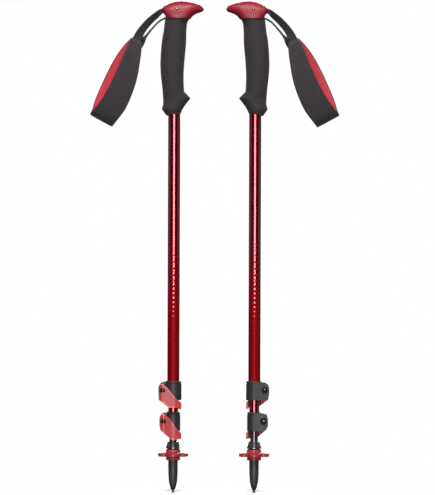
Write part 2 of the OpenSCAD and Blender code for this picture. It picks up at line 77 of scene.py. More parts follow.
# Heights and reaches that the frame fixes, in millimetres, measured from the left pole's line
POLE_X = -(span("left_upper_shaft")[0][0] + span("left_upper_shaft")[1][0]) / 2
UPPER_R, MIDDLE_R, LOWER_R = (half_width(f"left_{part}_shaft")
                              for part in ("upper", "middle", "lower"))
FOAM_Z = span("left_grip_foam")[0][2]
CAP_Z = span("left_grip_foam")[1][2]
UPPER_CLAMP_Z = span("left_upper_clamp")[0][2]
LOWER_CLAMP_Z = span("left_lower_clamp")[0][2]
CLAMP_H = span("left_upper_clamp")[1][2] - UPPER_CLAMP_Z
CONE_Z = span("left_tip_collar")[0][2]
WALL = 0.8
BOLT_RISE = 13.3
PIVOT_Y = -9.7

# Small sizes in millimetres that more than one piece is made to
BOND_GAP = 0.05
COLLAR_WALL = 2.85
BOLT_OUT = 3
BOLT_HOLE_R = 1.95
SCREW_SEAT_Y = 5.5
NUT_HALF = 6.5
LEVER_REACH = 10.7
TUBE_BORE_R = 5.05
SAW_HALF, SAW_LENGTH = 0.6, 24
LOBE_OUT, LOBE_R, VALLEY_R = 12.1, 7.9, 12.9
FLOOR_R = 0.14
SHADOW_START, SHADOW_END = 72, 132


# ---------- sizes and colours a user would change ----------


class PoleSizes(bpy.types.PropertyGroup):
    """Small dimensions of the finished pieces; the frame fixes the large ones."""

    edge_round: bpy.props.FloatProperty(
        name="Edge rounding", description="Radius left by the mould on the clamps and levers",
        default=0.00045, min=0.0001, max=0.001, unit="LENGTH", precision=5)
    band_bulge: bpy.props.FloatProperty(
        name="Band padding", description="How far the wrist band's face swells at its middle",
        default=0.0006, min=0.0, max=0.0015, unit="LENGTH", precision=5)
    webbing_width: bpy.props.FloatProperty(
        name="Webbing width", description="Width of the strap's narrow webbing",
        default=0.012, min=0.008, max=0.013, unit="LENGTH", precision=4)
    stitch_pitch: bpy.props.FloatProperty(
        name="Stitch pitch", description="Distance from one stitch to the next",
        default=0.0032, min=0.002, max=0.006, unit="LENGTH", precision=4)
    mark_step: bpy.props.FloatProperty(
        name="Length marks", description="Step between the length marks on the sliding tubes",
        default=0.05, min=0.01, max=0.1, unit="LENGTH", precision=3)


def tint(name, about, red, green, blue):
    """A colour property whose default is given as the eye sees it, 0 to 255."""
    return bpy.props.FloatVectorProperty(
        name=name, description=about, subtype="COLOR", size=3, min=0, max=1,
        default=[linear(v / 255) for v in (red, green, blue)])


def linear(v):
    return v / 12.92 if v <= 0.04045 else ((v + 0.055) / 1.055) ** 2.4


class PoleColours(bpy.types.PropertyGroup):
    """Colours of the poles' finishes."""

    cap_red: tint("Cap red", "Soft-touch cap over the grip", 134, 30, 42)
    foam_black: tint("Foam black", "Closed-cell grip foam", 39, 34, 38)
    anodised_red: tint("Anodised red", "Polished tube", 168, 38, 54)
    satin_red: tint("Satin red", "Blasted lower part of the upper tube", 126, 4, 14)
    lever_red: tint("Lever red", "Levers and baskets", 174, 56, 58)
    lining_red: tint("Lining red", "Inner face of the wrist band", 184, 50, 58)
    nylon_black: tint("Nylon black", "Clamps and tips", 44, 42, 46)
    cloth_black: tint("Cloth black", "Webbing and outer face of the wrist band", 46, 41, 45)


def sizes():
    return bpy.context.scene.pole_sizes


def colours():
    return bpy.context.scene.pole_colours


# ---------- finishes ----------


class Wire:
    """One output in a finish's node tree; wires add, multiply and compare like numbers."""

    def __init__(self, tree, socket):
        self.tree, self.socket = tree, socket

    def sum(self, how, other=None, turned=False):
        first, second = (other, self) if turned else (self, other)
        vector = self.socket.type == "VECTOR" or (
            isinstance(other, Wire) and other.socket.type == "VECTOR")
        node = self.tree.nodes.new("ShaderNodeVectorMath" if vector else "ShaderNodeMath")
        node.operation = how
        for slot, value in zip(node.inputs, (first, second)):
            put(self.tree, slot, value)
        return Wire(self.tree, node.outputs[0])

    def __add__(self, other):
        return self.sum("ADD", other)

    def __radd__(self, other):
        return self.sum("ADD", other, True)

    def __sub__(self, other):
        return self.sum("SUBTRACT", other)

    def __rsub__(self, other):
        return self.sum("SUBTRACT", other, True)

    def __mul__(self, other):
        return self.sum("MULTIPLY", other)

    def __rmul__(self, other):
        return self.sum("MULTIPLY", other, True)

    def __gt__(self, other):
        return self.sum("GREATER_THAN", other)

    def __lt__(self, other):
        return self.sum("LESS_THAN", other)


def put(tree, slot, value):
    """Wires or writes a value into a socket."""
    if value is None:
        return
    if isinstance(value, Wire):
        tree.links.new(value.socket, slot)
    elif slot.type == "RGBA" and len(value) == 3:
        slot.default_value = (*value, 1)
    elif slot.type == "VECTOR" and not hasattr(value, "__len__"):
        slot.default_value = (value, value, value)
    else:
        slot.default_value = value


class Finish:
    """A material built round one shader; the constants go straight onto the shader."""

    def __init__(self, name, **constants):
        self.material = bpy.data.materials.new(name)
        self.material.use_nodes = True
        self.tree = self.material.node_tree
        self.shader = self.tree.nodes["Principled BSDF"]
        for key, value in constants.items():
            put(self.tree, self.shader.inputs[key.replace("_", " ")], value)

    def node(self, kind, settings=None, sockets=None, out=0):
        made = self.tree.nodes.new("ShaderNode" + kind)
        for key, value in (settings or {}).items():
            setattr(made, key, value)
        for key, value in (sockets or {}).items():
            put(self.tree, made.inputs[key], value)
        return Wire(self.tree, made.outputs[out])

    def place(self):
        """Object coordinates in millimetres."""
        return self.node("TexCoord", out="Object") * 1000

    def cloth_place(self):
        return self.node("UVMap")

    def split(self, vector):
        made = self.tree.nodes.new("ShaderNodeSeparateXYZ")
        put(self.tree, made.inputs[0], vector)
        return [Wire(self.tree, s) for s in made.outputs]

    def noise(self, where, scale, detail=2.0):
        return self.node("TexNoise", sockets={
            "Vector": where, "Scale": scale, "Detail": detail, "Roughness": 0.5,
            "Distortion": 0.0})

    def cells(self, where, scale):
        return self.node("TexVoronoi", sockets={"Vector": where, "Scale": scale})

    def sine(self, value):
        return value.sum("SINE")

    def fade(self, value, low, high, start=0.0, end=1.0):
        """Runs smoothly from start to end as value goes from low to high."""
        return self.node("MapRange", {"interpolation_type": "SMOOTHSTEP"}, {
            "Value": value, "From Min": low, "From Max": high, "To Min": start, "To Max": end})

    def mix(self, share, first, second):
        made = self.tree.nodes.new("ShaderNodeMix")
        made.data_type = "RGBA"
        for slot, value in zip((made.inputs[0], made.inputs[6], made.inputs[7]),
                               (share, first, second)):
            put(self.tree, slot, value)
        return Wire(self.tree, made.outputs[2])

    def bump(self, height, depth, over=None):
        """Depth is in metres for a height that runs from 0 to 1."""
        return self.node("Bump", sockets={
            "Strength": 1.0, "Distance": depth, "Height": height, "Normal": over})

    def drive(self, **wires):
        for key, value in wires.items():
            put(self.tree, self.shader.inputs[key.replace("_", " ")], value)
        return self.material


def shade(colour, share):
    return [min(1, c * share) for c in colour]


def moulded(name, colour, rough, grain=0.00002, pitch=2.2, coat=0.0, gleam=0.5):
    """Moulded plastic: fine spark-eroded grain and slightly uneven gloss."""
    f = Finish(name, Coat_Roughness=0.2, Coat_Weight=coat, Specular_IOR_Level=gleam)
    where = f.place()
    fine, broad = f.noise(where, pitch, 3), f.noise(where, 0.06, 2)
    return f.drive(
        Base_Color=f.mix(broad, shade(colour, 0.9), shade(colour, 1.1)),
        Roughness=f.fade(fine + broad, 0.6, 1.4, rough - 0.04, rough + 0.06),
        Normal=f.bump(fine, grain))


def soft_touch(name, colour):
    """Rubbery cap skin: satin, with the faintest orange peel."""
    f = Finish(name, Coat_Weight=0.12, Coat_Roughness=0.3, Specular_IOR_Level=0.24)
    where = f.place()
    peel, broad = f.noise(where, 1.1, 2), f.noise(where, 0.05, 2)
    return f.drive(
        Base_Color=f.mix(broad, shade(colour, 0.92), shade(colour, 1.08)),
        Roughness=f.fade(broad, 0.3, 0.7, 0.38, 0.45),
        Normal=f.bump(peel, 0.000014))


def grip_foam(name, colour):
    """Closed-cell foam: fine cell pits over a matte skin."""
    f = Finish(name, Sheen_Weight=0.1, Sheen_Roughness=0.5, Specular_IOR_Level=0.3)
    where = f.place()
    pits, broad, fleck = f.cells(where, 1.5), f.noise(where, 0.07, 3), f.noise(where, 2.6, 2)
    return f.drive(
        Base_Color=f.mix(f.fade(fleck + broad * 0.6, 0.55, 1.05), shade(colour, 0.8),
                         shade(colour, 1.25)),
        Roughness=f.fade(broad, 0.3, 0.7, 0.72, 0.86),
        Normal=f.bump(pits, 0.00012, over=f.bump(fleck, 0.00006)))


def tube_polish(name, polished, satin):
    """Anodised tube: polished above, blasted below, the change broken into slashes and dots."""
    f = Finish(name, Specular_IOR_Level=0.08, Coat_Roughness=0.14)
    x, y, z = f.split(f.place())
    round_x = x - (x.sum("SIGN") * POLE_X)
    turn = round_x.sum("ARCTAN2", y) * UPPER_R
    tilt = f.fade(z, 268, 340, 0.0, 0.62)
    rows = f.sine((z - turn * tilt) * (2 * math.pi / 6.0)) * 0.5 + 0.5
    columns = f.sine(turn * (8 / UPPER_R) + 1.2) * 0.5 + 0.5
    dots = f.fade(z, 225, 285, 0.55, 0.0)
    field = rows * (1 - dots) + columns * dots
    level = f.fade(z, 214, 356, 1.04, -0.06)
    gloss = f.fade(field - level, -0.05, 0.05)
    speckle = f.noise(f.place() * Vector((1, 1, 0.1)), 1.2, 2)
    return f.drive(
        Base_Color=f.mix(gloss, f.mix(speckle, shade(satin, 0.9), shade(satin, 1.12)), polished),
        Metallic=f.fade(gloss, 0, 1, 0.35, 0.96),
        Roughness=f.fade(gloss, 0, 1, 0.52, 0.2),
        Coat_Weight=f.fade(gloss, 0, 1, 0.0, 0.9))


def polished_tube(name, colour, marks, rough=0.18, metal=0.95):
    """Polished sliding tube with pale length marks and faint rubbing along its length."""
    f = Finish(name, Specular_IOR_Level=0.6, Coat_Weight=0.6, Coat_Roughness=0.08)
    x, y, z = f.split(f.place())
    rub = f.noise(f.place() * Vector((3, 3, 0.02)), 1.0, 3)
    front = y < 0
    step = sizes().mark_step / MM
    near = ((z - marks).sum("MODULO", step) - 0.5).sum("ABSOLUTE") < 0.35
    short = (x - x.sum("SIGN") * POLE_X).sum("ABSOLUTE") < 3.2
    above = z > marks - 0.2
    ink = near * short * front * above
    return f.drive(
        Base_Color=f.mix(ink, f.mix(rub, shade(colour, 0.85), shade(colour, 1.15)),
                         (0.72, 0.7, 0.7)),
        Metallic=metal - ink * metal,
        Roughness=f.fade(rub, 0.3, 0.7, rough - 0.03, rough + 0.07) + ink * 0.3)


def woven(name, colour, across, along, rib=0.6, sheen=0.3, depth=0.00022, lift=1.3):
    """Woven cloth on the piece's own map: across and along count the threads."""
    f = Finish(name, Sheen_Weight=sheen, Sheen_Roughness=0.45, Specular_IOR_Level=0.3)
    u, v, _ = f.split(f.cloth_place())
    warp = f.sine(u * (across * 2 * math.pi)) * 0.5 + 0.5
    weft = f.sine(v * (along * 2 * math.pi)) * 0.5 + 0.5
    mesh = warp * (1 - rib) + weft * rib
    fuzz, broad = f.noise(f.place(), 2.4, 3), f.noise(f.place(), 0.09, 2)
    return f.drive(
        Base_Color=f.mix(f.fade(mesh * 0.6 + fuzz * 0.4 + broad * 0.3, 0.35, 0.95),
                         shade(colour, 0.62), shade(colour, lift)),
        Roughness=f.fade(fuzz, 0.3, 0.7, 0.78, 0.92),
        Normal=f.bump(mesh, depth, over=f.bump(fuzz, 0.00008)))


def bare_metal(name, colour, rough, pitch=1.4):
    """Machined metal with turning marks and a little handling wear."""
    f = Finish(name, Metallic=1.0)
    where = f.place()
    marks, broad = f.noise(where * Vector((1, 1, 6)), pitch, 2), f.noise(where, 0.4, 3)
    return f.drive(
        Base_Color=f.mix(broad, shade(colour, 0.75), colour),
        Roughness=f.fade(broad, 0.3, 0.7, rough - 0.06, rough + 0.1),
        Normal=f.bump(marks, 0.00002))


def thread(name, colour):
    f = Finish(name, Sheen_Weight=0.3)
    twist = f.noise(f.place() * Vector((4, 4, 4)), 1.0, 1)
    return f.drive(Base_Color=f.mix(twist, shade(colour, 0.6), shade(colour, 1.3)),
                   Roughness=f.fade(twist, 0.3, 0.7, 0.6, 0.8),
                   Normal=f.bump(twist, 0.00008))


def make_finishes():
    c = colours()
    return {
        "cap": soft_touch("cap skin", c.cap_red),
        "foam": grip_foam("grip foam", c.foam_black),
        "upper_tube": tube_polish("fading anodise", c.anodised_red, c.satin_red),
        "middle_tube": polished_tube("red sliding tube", c.anodised_red, 140.0),
        "lower_tube": polished_tube("black sliding tube", (0.05, 0.046, 0.052), 100.0, 0.22, 0.6),
        "nylon": moulded("black nylon", c.nylon_black, 0.46, gleam=0.34),
        "inner_nylon": moulded("black nylon inside", shade(c.nylon_black, 0.8), 0.55),
        "lever": moulded("lever plastic", c.lever_red, 0.47, coat=0.06),
        "gloss_black": moulded("gloss black collar", (0.026, 0.025, 0.027), 0.25,
                               grain=0.000004, coat=1.0, gleam=1.0),
        # Near-black, darker than the clamp nylon: painted shade for the washer at the bottom of the
        # bolt pocket and for the floor of the bolt's driver recess.
        "recess_painted_shade": moulded("washer and recess painted shade", (0.012, 0.011, 0.012), 0.6, gleam=0.2),
        # A lighter, glossier copy of the lever red: painted highlight for the lever's front rim.
        "lever_rim_highlight": moulded("lever rim painted highlight", shade(c.lever_red, 1.35), 0.4, coat=0.2),
        "basket": moulded("basket plastic", shade(c.lever_red, 0.72), 0.42, coat=0.12,
                           gleam=0.32),
        "tip": moulded("tip plastic", shade(c.nylon_black, 1.25), 0.42),
        "webbing": woven("ribbed webbing", c.cloth_black, 3, 46, 0.75),
        "band": woven("band outer cloth", shade(c.cloth_black, 0.9), 26, 170, 0.5,
                      depth=0.00012),
        "lining": woven("band lining cloth", c.lining_red, 26, 170, 0.5, sheen=0.5,
                        depth=0.00014, lift=1.15),
        "tape": moulded("edge tape", shade(c.cloth_black, 0.8), 0.8, grain=0.00008),
        "black_thread": thread("black thread", (0.03, 0.028, 0.03)),
        "steel": bare_metal("pin steel", (0.7, 0.66, 0.67), 0.28),
        "bolt": bare_metal("bolt steel", (0.3, 0.29, 0.3), 0.26),
        "dark_steel": bare_metal("blackened steel", (0.09, 0.085, 0.09), 0.35),
        "carbide": bare_metal("tip metal", (0.13, 0.125, 0.13), 0.4),
    }


FINISH = {}


def dress(obj, *finishes):
    obj.data.materials.clear()
    for finish in finishes:
        obj.data.materials.append(FINISH[finish])


# ---------- hand tools ----------


def nothing():
    """Leaves edit mode and selects nothing."""
    if bpy.context.object and bpy.context.object.mode != "OBJECT":
        bpy.ops.object.mode_set(mode="OBJECT")
    bpy.ops.object.select_all(action="DESELECT")


def alone(obj):
    """Selects one object and makes it active."""
    nothing()
    obj.select_set(True)
    bpy.context.view_layer.objects.active = obj


def new_piece(name):
    """Names the primitive that was just added."""
    obj = bpy.context.object
    obj.name = name
    obj.data.name = name
    return obj


def tidy_normals(obj):
    alone(obj)
    bpy.ops.object.mode_set(mode="EDIT")
    bpy.ops.mesh.select_all(action="SELECT")
    bpy.ops.mesh.remove_doubles(threshold=0.000002)
    bpy.ops.mesh.normals_make_consistent(inside=False)
    bpy.ops.object.mode_set(mode="OBJECT")


def skin(name, rings, joined=False, filled=True):
    """Extrudes a circle's edge from ring to ring; rings hold points in millimetres."""
    count = len(rings[0])
    nothing()
    bpy.ops.mesh.primitive_circle_add(vertices=count, radius=MM, fill_type="NOTHING")
    obj = new_piece(name)
    bpy.ops.object.mode_set(mode="EDIT")
    bpy.ops.mesh.select_all(action="SELECT")
    bm = bmesh.from_edit_mesh(obj.data)
    bm.verts.ensure_lookup_table()
    row = [v.index for v in bm.verts]
    for vert, point in zip(bm.verts, rings[0]):
        vert.co = Vector(point) * MM
    for ring in rings[1:]:
        bmesh.update_edit_mesh(obj.data)
        bpy.ops.mesh.extrude_edges_move()
        bm = bmesh.from_edit_mesh(obj.data)
        bm.verts.ensure_lookup_table()
        row = [next(e.other_vert(bm.verts[i]).index for e in bm.verts[i].link_edges
                    if e.other_vert(bm.verts[i]).select) for i in row]
        for i, point in zip(row, ring):
            bm.verts[i].co = Vector(point) * MM
    bmesh.update_edit_mesh(obj.data)
    bpy.ops.mesh.select_all(action="DESELECT")
    bpy.ops.mesh.select_mode(type="EDGE")
    bpy.ops.mesh.select_non_manifold(extend=False)
    if joined:
        bpy.ops.mesh.bridge_edge_loops()
    elif filled:
        bpy.ops.mesh.fill_holes(sides=0)
    bpy.ops.mesh.select_mode(type="VERT")
    bpy.ops.mesh.select_all(action="SELECT")
    bpy.ops.mesh.normals_make_consistent(inside=False)
    bpy.ops.object.mode_set(mode="OBJECT")
    return obj


def turned(name, profile, sides=72, joined=False, centre=(0, 0)):
    """Turns (radius, height) points about an upright line."""
    return skin(name, [[(centre[0] + r * math.cos(2 * math.pi * k / sides),
                         centre[1] + r * math.sin(2 * math.pi * k / sides), z)
                        for k in range(sides)] for r, z in profile], joined)


def plate(name, outline, start, end, along="Y"):
    """An outline in the XZ plane drawn out from y=start to y=end, or in XY along Z."""
    def at(p, d):
        return (p[0], d, p[1]) if along == "Y" else (p[0], p[1], d)
    return skin(name, [[at(p, start) for p in outline], [at(p, end) for p in outline]])


def lay_y(name, x, z, profile, sides=48):
    """A turned piece that lies along Y: profile holds (radius, y)."""
    return skin(name, [[(x + r * math.cos(2 * math.pi * k / sides), y,
                         z + r * math.sin(2 * math.pi * k / sides))
                        for k in range(sides)] for r, y in profile])


def carve(obj, tool, how="DIFFERENCE"):
    """Cuts, adds or keeps the part inside a tool, and removes the tool."""
    alone(obj)
    mod = obj.modifiers.new("carve", "BOOLEAN")
    mod.operation, mod.solver, mod.object = how, "EXACT", tool
    bpy.ops.object.modifier_apply(modifier=mod.name)
    bpy.data.objects.remove(tool, do_unlink=True)
    return obj


def round_edges(obj, width, degrees=30, steps=2):
    alone(obj)
    bpy.ops.object.mode_set(mode="EDIT")
    bpy.ops.mesh.select_all(action="SELECT")
    bpy.ops.mesh.remove_doubles(threshold=0.00001)
    bpy.ops.mesh.dissolve_limited(angle_limit=math.radians(0.5))
    bpy.ops.object.mode_set(mode="OBJECT")
    mod = obj.modifiers.new("round", "BEVEL")
    mod.width, mod.segments = width * MM, steps
    mod.limit_method, mod.angle_limit = "ANGLE", math.radians(degrees)
    mod.use_clamp_overlap = True
    bpy.ops.object.modifier_apply(modifier=mod.name)
    return obj


def smooth(obj, degrees=32):
    """Smooth shading that keeps broad faces flat beside their rounded edges."""
    alone(obj)
    bpy.ops.object.shade_smooth_by_angle(angle=math.radians(degrees))
    mod = obj.modifiers.new("flat faces", "WEIGHTED_NORMAL")
    mod.keep_sharp = True
    bpy.ops.object.modifier_apply(modifier=mod.name)
    return obj


def seat(obj, side, mirrored=False):
    """Moves a piece made round the pole's own line to its pole, and settles it at the origin."""
    alone(obj)
    if side == "left":
        shift = Matrix.Translation((-POLE_X * MM, 0, 0))
    elif mirrored:
        shift = Matrix.Translation((POLE_X * MM, 0, 0)) @ Matrix.Diagonal((-1, 1, 1, 1))
    else:
        shift = Matrix.Translation((POLE_X * MM, 0, 0)) @ Matrix.Rotation(math.pi, 4, "Z")
    obj.matrix_world = shift
    bpy.ops.object.transform_apply(location=True, rotation=True, scale=True)
    if mirrored and side == "right":
        bpy.ops.object.mode_set(mode="EDIT")
        bpy.ops.mesh.select_all(action="SELECT")
        bpy.ops.mesh.normals_make_consistent(inside=False)
        bpy.ops.object.mode_set(mode="OBJECT")
    return obj


def pair(obj, part, body, nodes, mirrored=False):
    """Copies a finished left piece to the right pole and ties both to the frame."""
    made = []
    alone(obj)
    bpy.ops.object.duplicate()
    twin = bpy.context.object
    for side, piece in zip(SIDES, (obj, twin)):
        piece.name = f"{side}_{part}"
        piece.data.name = piece.name
        seat(piece, side, mirrored)
        if body:
            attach(piece, f"{side}_{body}")
        if nodes:
            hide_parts(*[f"{side}_{n}" for n in nodes])
        made.append(piece)
    return made


def along(rows, u):
    """A smooth curve through rows of numbers; u runs from 0 to the last row's number."""
    last = len(rows) - 1
    i = min(int(math.floor(u)), last - 1)
    a, b, c, d = rows[max(i - 1, 0)], rows[i], rows[i + 1], rows[min(i + 2, last)]
    t = u - i
    return [0.5 * (2 * q + (r - p) * t + (2 * p - 5 * q + 4 * r - s) * t * t
                   + (3 * q - p - 3 * r + s) * t ** 3) for p, q, r, s in zip(a, b, c, d)]


class PolePiece:
    """What the piece operators share."""

    bl_options = {"REGISTER", "UNDO"}

    def execute(self, context):
        self.build()
        return {"FINISHED"}


# ---------- grip and cap ----------

# Share of the grip's length, reach behind and in front, share of the half depth
GRIP = [
    (0.000, 10.0, 8.6, 0.72), (0.012, 11.6, 9.2, 0.76), (0.040, 14.2, 10.4, 0.84),
    (0.067, 16.5, 12.2, 0.88), (0.080, 16.3, 13.0, 0.885), (0.118, 14.9, 16.2, 0.88),
    (0.172, 14.9, 21.3, 0.87), (0.182, 15.0, 21.3, 0.87), (0.247, 15.7, 13.5, 0.90),
    (0.275, 15.9, 12.9, 0.91), (0.400, 17.8, 12.4, 0.97), (0.540, 18.8, 13.2, 1.00),
    (0.740, 17.3, 15.5, 0.99), (0.875, 14.6, 15.9, 0.96), (0.955, 13.3, 16.9, 0.945),
    (0.985, 12.9, 18.6, 0.94), (1.000, 12.7, 20.0, 0.94),
]
GRIP_HALF = 14.5

# x, underside and top over the cap line, share of the half width
CAP = [
    (-17.3, 10.9, 13.1, 0.12), (-16.0, 9.0, 15.0, 0.44), (-13.2, 5.2, 17.4, 0.72),
    (-10.4, -1.5, 18.9, 0.86), (-4.0, -10.0, 22.0, 0.97), (5.0, -14.0, 24.0, 1.00),
    (14.0, -10.0, 23.9, 0.96), (20.0, -1.5, 22.9, 0.88), (24.0, 3.6, 22.3, 0.79),
    (28.5, 6.8, 21.0, 0.70), (33.0, 8.4, 19.4, 0.58), (36.0, 9.4, 17.8, 0.46),
    (38.0, 10.7, 15.9, 0.31), (38.9, 12.2, 14.3, 0.14),
]
CAP_HALF = 15.0
PIN_X, PIN_RISE = 3.2, 12.5


def straight(rows, u):
    """Straight runs between rows, for the grip's flat facets."""
    last = len(rows) - 1
    i = min(int(u), last - 1)
    return [p + (q - p) * (u - i) for p, q in zip(rows[i], rows[i + 1])]


def grip_rings(sides):
    rings = []
    steps = 80
    for i in range(steps + 1):
        u = (len(GRIP) - 1) * i / steps
        row = along(GRIP, u) if u > 9 else [
            0.15 * a + 0.85 * b for a, b in zip(along(GRIP, u), straight(GRIP, u))]
        middle, reach = (row[2] - row[1]) / 2, (row[2] + row[1]) / 2
        z = FOAM_Z + (CAP_Z - FOAM_Z) * row[0]
        rise = 3 * (1 - min(max(row[0], 0), 1)) ** 8
        ring = []
        for k in range(sides):
            a = 2 * math.pi * k / sides
            c, s = math.cos(a), math.sin(a)
            flat = 0.965 + 0.035 * c ** 2
            ring.append((middle + reach * c, row[3] * GRIP_HALF * s * flat,
                         z + rise * (1 + c) / 2))
        rings.append(ring)
    return rings


class POLES_OT_grips(PolePiece, bpy.types.Operator):
    """Moulded foam grips, bored for the tube"""

    bl_idname = "poles.grips"
    bl_label = "Foam grips"

    def build(self):
        grip = skin("grip", grip_rings(64))
        carve(grip, turned("bore", [(UPPER_R + BOND_GAP, FOAM_Z - 2),
                                    (UPPER_R + BOND_GAP, CAP_Z + 3)]))
        round_edges(grip, 0.8, 40, 3)
        dress(grip, "foam")
        smooth(grip, 40)
        for piece in pair(grip, "foam_grip", "upper_section", ["grip_foam"]):
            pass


class POLES_OT_caps(PolePiece, bpy.types.Operator):
    """Soft-touch caps with their beak, strap slots and pin"""

    bl_idname = "poles.caps"
    bl_label = "Grip caps"

    def build(self):
        rings, sides, steps = [], 56, 65
        for i in range(steps + 1):
            x, low, high, share = along(CAP, (len(CAP) - 1) * i / steps)
            middle, tall = (low + high) / 2, (high - low) / 2
            ring = []
            for k in range(sides):
                a = 2 * math.pi * k / sides
                ring.append((x, share * CAP_HALF * math.cos(a),
                             CAP_Z + middle + tall * math.sin(a)))
            rings.append(ring)
        cap = skin("cap", rings)
        box = [(-60, -60), (60, -60), (60, 0.15), (-60, 0.15)]
        carve(cap, plate("trim", [(x, z + CAP_Z) for x, z in box], -60, 60))
        bore = UPPER_R - WALL - BOND_GAP
        spigot = turned("spigot", [(bore - 0.8, CAP_Z - 27), (bore, CAP_Z - 26),
                                   (bore, CAP_Z + 1)])
        carve(cap, spigot, "UNION")
        carve(cap, self.slot(2.4, -26, 6.5))
        hole = lay_y("hole", PIN_X, CAP_Z + PIN_RISE, [(1.85, -30), (1.85, 30)])
        carve(cap, hole)
        wedge = [(-9.3, 14.1), (-2.3, 15), (-2.3, 19), (-9.3, 16.8)]
        carve(cap, plate("wedge room", [(x, z + CAP_Z) for x, z in wedge], -6.3, 6.3))
        round_edges(cap, 0.5, 38, 3)
        dress(cap, "cap")
        smooth(cap, 40)
        pair(cap, "cap_shell", "upper_section", ["cap"])
        z, y = CAP_Z + PIN_RISE, CAP_HALF - 0.8
        head = [(0.15, 0), (0.6, 0.12), (0.95, 0.4), (1.15, 0.9), (1.8, 1.3)]
        pin = lay_y("pin", PIN_X, z, [(r, -y + d) for r, d in head]
                    + [(r, y - d) for r, d in reversed(head)])
        # Faces more than 1.2 mm from the pin's axis, the flange round the head, take the gloss
        # black: a painted shadow ring round the bright pin head.
        dress(pin, "steel", "gloss_black")
        for face in pin.data.polygons:
            spot = face.center / MM
            far = math.hypot(spot.x - PIN_X, spot.z - z)
            face.material_index = int(far > 1.2)
        smooth(pin, 30)
        pair(pin, "strap_rivet", "upper_section", ["strap_pin"])

    def slot(self, thick, end, half):
        def arc(r, start, stop):
            return [(PIN_X + r * math.cos(math.radians(start + (stop - start) * i / 12)),
                     PIN_RISE + r * math.sin(math.radians(start + (stop - start) * i / 12)))
                    for i in range(13)]
        r, h = 2.75, thick / 2
        path = [(end, 10.4 + h), *arc(r + h, 98, -72), (end, 0.9 - h), (end, 0.9 + h),
                *arc(r - h, -72, 98), (end, 10.4 - h)]
        return plate("slot", [(x, z + CAP_Z) for x, z in path], -half, half)


# ---------- tubes ----------


def pipe_profile(outer, inner, low, high):
    return [(inner, low), (outer - 0.3, low), (outer, low + 0.3), (outer, high - 0.3),
            (outer - 0.3, high), (inner, high)]


class POLES_OT_tubes(PolePiece, bpy.types.Operator):
    """Three tubes to a pole, the two outer ones sawn where their clamps squeeze"""

    bl_idname = "poles.tubes"
    bl_label = "Tubes"

    def build(self):
        plan = [
            ("upper_tube", "upper_shaft", "upper_section", UPPER_R, "anodised_tube", True),
            ("middle_tube", "middle_shaft", "middle_section", MIDDLE_R, "anodised_tube", True),
            ("lower_tube", "lower_shaft", "lower_section", LOWER_R, "black_tube", False),
        ]
        for part, node, body, r, slot, sawn in plan:
            low, high = span(f"left_{node}")
            tube = turned(part, pipe_profile(r, r - WALL, low[2], high[2]), 96, True)
            if sawn:
                cut = [(-SAW_HALF, low[2] - 1), (SAW_HALF, low[2] - 1),
                       (SAW_HALF, low[2] + SAW_LENGTH), (-SAW_HALF, low[2] + SAW_LENGTH)]
                carve(tube, plate("saw", cut, -r - 1, r + 1))
            dress(tube, part)
            smooth(tube, 25)
            pair(tube, part, body, [node])


# ---------- clamps ----------


def ear_outline(r, bolt_x, z):
    """The ears seen from the front, with their outer corners rounded."""
    end = -bolt_x - 5.8
    return [(-1.4, z + CLAMP_H - 0.4), (end + 9.5, z + CLAMP_H - 1),
            *arc_points(end + 8.5, z + CLAMP_H - 9.9, 8.5, 88, 180, 14),
            *arc_points(end + 8, z + 8.5, 8, 180, 270, 12), (-1.4, z + 0.4)]


